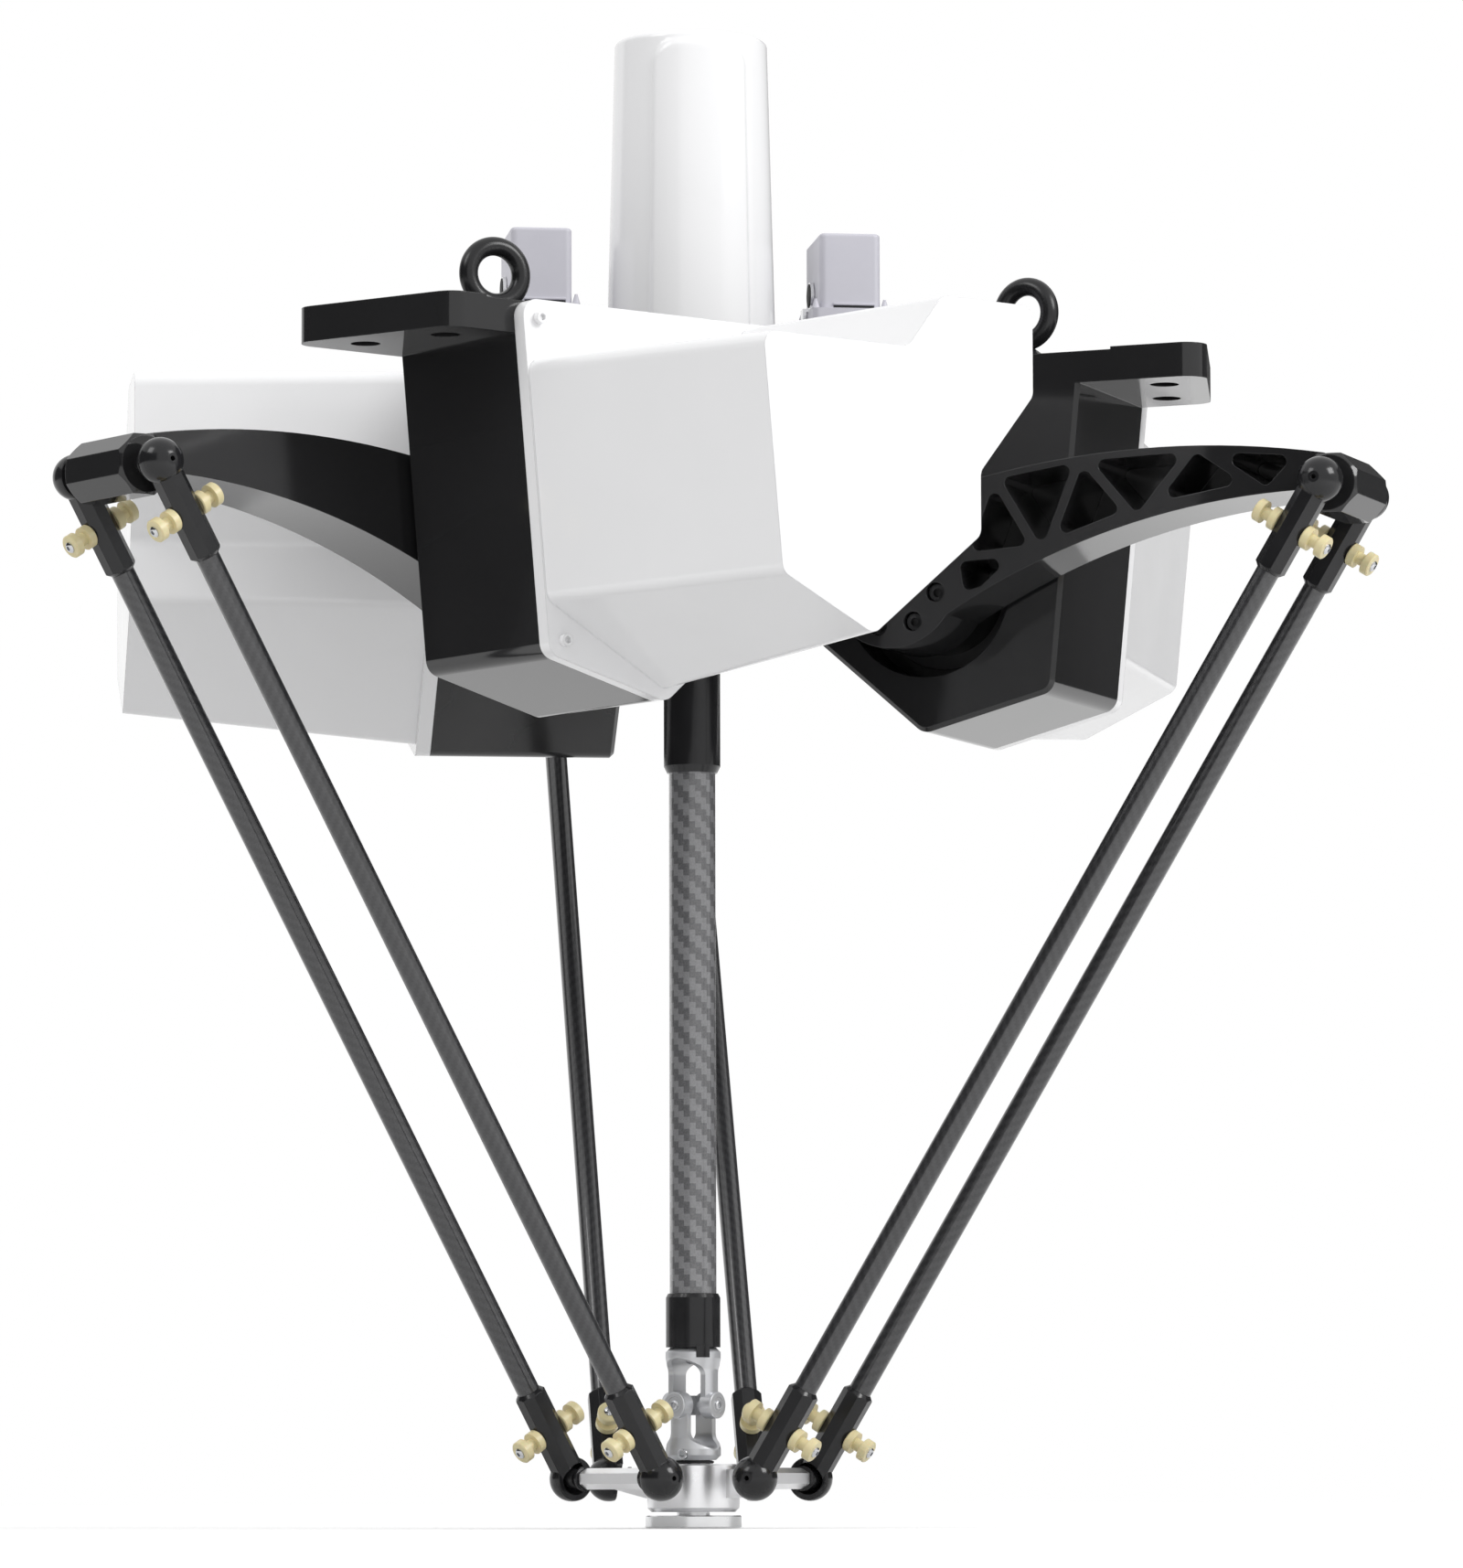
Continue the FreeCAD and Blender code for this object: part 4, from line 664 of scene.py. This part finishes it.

# %% [markdown]
# ## Connector details
# Each hood has a pressed lip just above the base, and a thin dark strip under it is painted
# shade where the lip's shadow falls. The lever turns on a domed rivet. The lips are straight,
# so rounded boxes do.

# %% Lips, painted shade strips and rivets on the connectors
def block(name, low, high, material, body, round_mm):
    """A box between two corners with rounded edges."""
    low, high = Vector(low), Vector(high)
    shape = bmesh.new()
    bmesh.ops.create_cube(shape, size=1.0)
    size = high - low
    bmesh.ops.transform(shape, verts=shape.verts,
                        matrix=Matrix.Translation((low + high) / 2)
                        @ Matrix.Diagonal((size.x, size.y, size.z, 1)))
    bmesh.ops.bevel(shape, geom=shape.edges[:], offset=round_mm * MM, segments=3, profile=0.5,
                    affect="EDGES")
    return finish_mesh(name, shape, material, body)


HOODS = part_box("connector_hoods")
HOOD_LOW, HOOD_FRONT = HOODS[0].z, HOODS[0].y
HOOD_MIDDLE, STRIP_DEPTH = 114 * MM, 0.5 * MM
# The lip_shadow_ strip is painted shade: a dark band just under the lip where its shadow falls.
# A strip's reach to the left and right of the hood's middle, how proud it stands, its low and
# high edge above the hood's foot, and its rounding
STRIPS_MM = (("lip_", (13, 18, 1.6, 2.2, 4.0, 0.6), CONNECTOR_COAT, "connector_grey"),
             ("lip_shadow_", (12.6, 17.6, 0.3, 0.6, 2.3, 0.2), RUBBER_AND_PAINTED_SHADE, "black_steel"))
RIVET = [(0, 0.9), (7.4, 0.9), (8.6, 0.6), (9.0, 0.0)]
PIVOT_OUT, PIVOT_Y, PIVOT_RISE = 25.4 * MM, 6 * MM, 14.5 * MM
for side, name in ((-1, "left"), (1, "right")):
    middle = side * HOOD_MIDDLE
    for title, (left, right, proud, foot, top, rounding), material, slot in STRIPS_MM:
        block(title + name,
              (middle - left * MM, HOOD_FRONT - proud * MM, HOOD_LOW + foot * MM),
              (middle + right * MM, HOOD_FRONT + STRIP_DEPTH, HOOD_LOW + top * MM),
              material, "base", rounding)
    rivet = Vector((middle - PIVOT_OUT, PIVOT_Y, HOOD_LOW + PIVOT_RISE))
    spin("lever_rivet_" + name, RIVET, aim(rivet, Vector((-1, 0, 0))), RUBBER_AND_PAINTED_SHADE,
         name + "_lever", 40)
print("connector strips and rivets at", -HOOD_MIDDLE, HOOD_MIDDLE)

# %% [markdown]
# ## Stage, light and camera
# The photograph is a studio picture on white. The floor is a sheet just under the tool
# flange. A plain white sheet would throw too much light up at the robot's underside, so the
# sheet bounces light as pale grey, and only the camera and mirrors see it white. It still
# keeps the contact shadow, and further out it glows a little, so that no horizon shows.

# %% Floor
FLOOR_REACH, FLOOR_GAP = 60.0, 0.4 * MM


def ray_share(tree, *kinds):
    """1 for the named kinds of ray, 0 for all others."""
    path = add(tree, "ShaderNodeLightPath")
    share = path.outputs["Is %s Ray" % kinds[0]]
    for kind in kinds[1:]:
        share = add(tree, "ShaderNodeMath", {"operation": "MAXIMUM"},
                    {0: share, 1: path.outputs["Is %s Ray" % kind]}).outputs[0]
    return share


def white_floor():
    """A sheet that is white to the camera and in mirrors, and glows a little further out."""
    mesh = bpy.data.meshes.new("floor")
    level = TOOL_FACE - FLOOR_GAP
    mesh.from_pydata([(-FLOOR_REACH, -FLOOR_REACH, level), (FLOOR_REACH, -FLOOR_REACH, level),
                      (FLOOR_REACH, FLOOR_REACH, level), (-FLOOR_REACH, FLOOR_REACH, level)],
                     [], [(0, 1, 2, 3)])
    made, tree, surface = new_material("matt_white_sheet", Roughness=1.0,
                                       Specular_IOR_Level=0.0)
    seen = ray_share(tree, "Camera", "Glossy")
    two_shades(tree, surface, seen, "#cfcfcf", "#ffffff")
    surface.inputs["Emission Color"].default_value = srgb("#ffffff")
    where = add(tree, "ShaderNodeNewGeometry")
    away = add(tree, "ShaderNodeVectorMath", {"operation": "LENGTH"},
               {0: where.outputs["Position"]})
    sweep = add(tree, "ShaderNodeMapRange", {"From Min": 1.0, "From Max": 3.5, "To Min": 0.0,
                                             "To Max": 0.22}, {"Value": away.outputs["Value"]})
    glow = add(tree, "ShaderNodeMath", {"operation": "MULTIPLY"},
               {0: seen, 1: sweep.outputs[0]})
    tree.links.new(glow.outputs[0], surface.inputs["Emission Strength"])
    mesh.materials.append(made)
    put_in_scene("floor", mesh)


white_floor()
print("floor at", TOOL_FACE - FLOOR_GAP)

# %% [markdown]
# The sky lights the robot evenly from all sides. It is a little below white for the light
# that it gives, so that white paint keeps its shading, and full white wherever it is seen.

# %% Sky
SKY_LEVEL = 0.84
world = bpy.data.worlds.new("studio")
bpy.context.scene.world = world
world.use_nodes = True
tree = world.node_tree
tree.nodes.clear()
level = add(tree, "ShaderNodeMapRange", {"To Min": SKY_LEVEL, "To Max": 1.0},
            {"Value": ray_share(tree, "Camera", "Glossy", "Transmission")})
sky = add(tree, "ShaderNodeBackground", {"Color": srgb("#ffffff")},
          {"Strength": level.outputs[0]})
add(tree, "ShaderNodeOutputWorld", {}, {"Surface": sky.outputs[0]})
print("sky level", SKY_LEVEL)

# %% [markdown]
# Gloss paint shows what stands round it. A studio hangs dark cloths at the sides, so that
# black castings stay black and metals get contrast. They are far off, and only mirrors see
# them: they cast no shadow and take no light from the covers.

# %% Dark cloths at the sides
CLOTH_AWAY, CLOTH_FOOT, CLOTH_TOP, CLOTH_STEPS = 9.0, TOOL_FACE + 0.05, 5.0, 24


def curtain(name, start, end, pale, deep):
    """A cloth far off between two azimuths, which the glossy castings and metals mirror."""
    mesh = bpy.data.meshes.new(name)
    spots = []
    for k in range(CLOTH_STEPS + 1):
        out = sideways(start + (end - start) * k / CLOTH_STEPS) * CLOTH_AWAY
        spots += [(out.x, out.y, z) for z in (CLOTH_FOOT, CLOTH_TOP)]
    faces = [(2 * k, 2 * k + 2, 2 * k + 3, 2 * k + 1) for k in range(CLOTH_STEPS)]
    mesh.from_pydata(spots, [], faces)
    cloth = put_in_scene(name, mesh)
    made, tree, surface = new_material(name + "_cloth", Roughness=1.0)
    tint(tree, surface, place_of(tree), pale, deep, 300.0)
    mesh.materials.append(made)
    cloth.visible_camera = False
    cloth.visible_diffuse = False
    cloth.visible_shadow = False


curtain("right_curtain", 0, 75, "#5a5a5a", "#525252")
curtain("left_curtain", 142, 248, "#3c3c3c", "#363636")
print("cloths hang", CLOTH_AWAY, "m off")

# %% [markdown]
# A big soft lamp high on the right front shades the covers, and a weaker one on the left
# front lifts the other side. Both are big squares, because a small lamp would draw hard
# shadows, and both are turned down in mirrors, where a square highlight would give them away.

# %% Lamps
LAMP_SIZE, LAMP_IN_MIRRORS = 1.6, 0.3
LIT_POINT = Vector((0, 0, -0.2))


def softbox(name, place, watts):
    """A square area lamp that looks at the robot's arms."""
    lamp = bpy.data.lights.new(name, "AREA")
    lamp.shape = "SQUARE"
    lamp.size = LAMP_SIZE
    lamp.energy = watts
    lamp.specular_factor = LAMP_IN_MIRRORS
    holder = put_in_scene(name, lamp)
    holder.location = place
    holder.rotation_euler = (LIT_POINT - Vector(place)).to_track_quat("-Z", "Y").to_euler()


softbox("key", (2.6, -2.2, 1.8), 80.0)
softbox("left_fill", (-3.0, -1.6, 2.6), 36.0)
print("lamps", [lamp.name for lamp in bpy.data.lights])

# %% [markdown]
# The camera was fitted to the photograph: a long lens 18 mm above the floor and 5.5 m away,
# 7.4 degrees round from the robot's front. It looks 7.7 degrees round and 5.4 degrees up.

# %% Camera
PHOTO_HEIGHT = 1715
FOCAL_PIXELS = 8281
FILM_HEIGHT = 36.0
lens = bpy.data.cameras.new("camera")
lens.sensor_fit = "VERTICAL"
lens.sensor_height = FILM_HEIGHT
lens.lens = FOCAL_PIXELS * FILM_HEIGHT / PHOTO_HEIGHT
lens.clip_end = 100.0
camera = put_in_scene("camera", lens)
STAND, STAND_Z, TURN, AIM, TILT, ROLL = 5.516, -0.8334, 0.12846, 0.13369, 0.0946, -0.0024
camera.matrix_world = (
    Matrix.Translation((-STAND * math.sin(TURN), -STAND * math.cos(TURN), STAND_Z))
    @ Matrix.Rotation(-AIM, 4, "Z") @ Matrix.Rotation(math.pi / 2 + TILT, 4, "X")
    @ Matrix.Rotation(ROLL, 4, "Z"))
bpy.context.scene.camera = camera
bpy.context.scene.view_settings.view_transform = "Standard"
print("camera", tuple(camera.location))
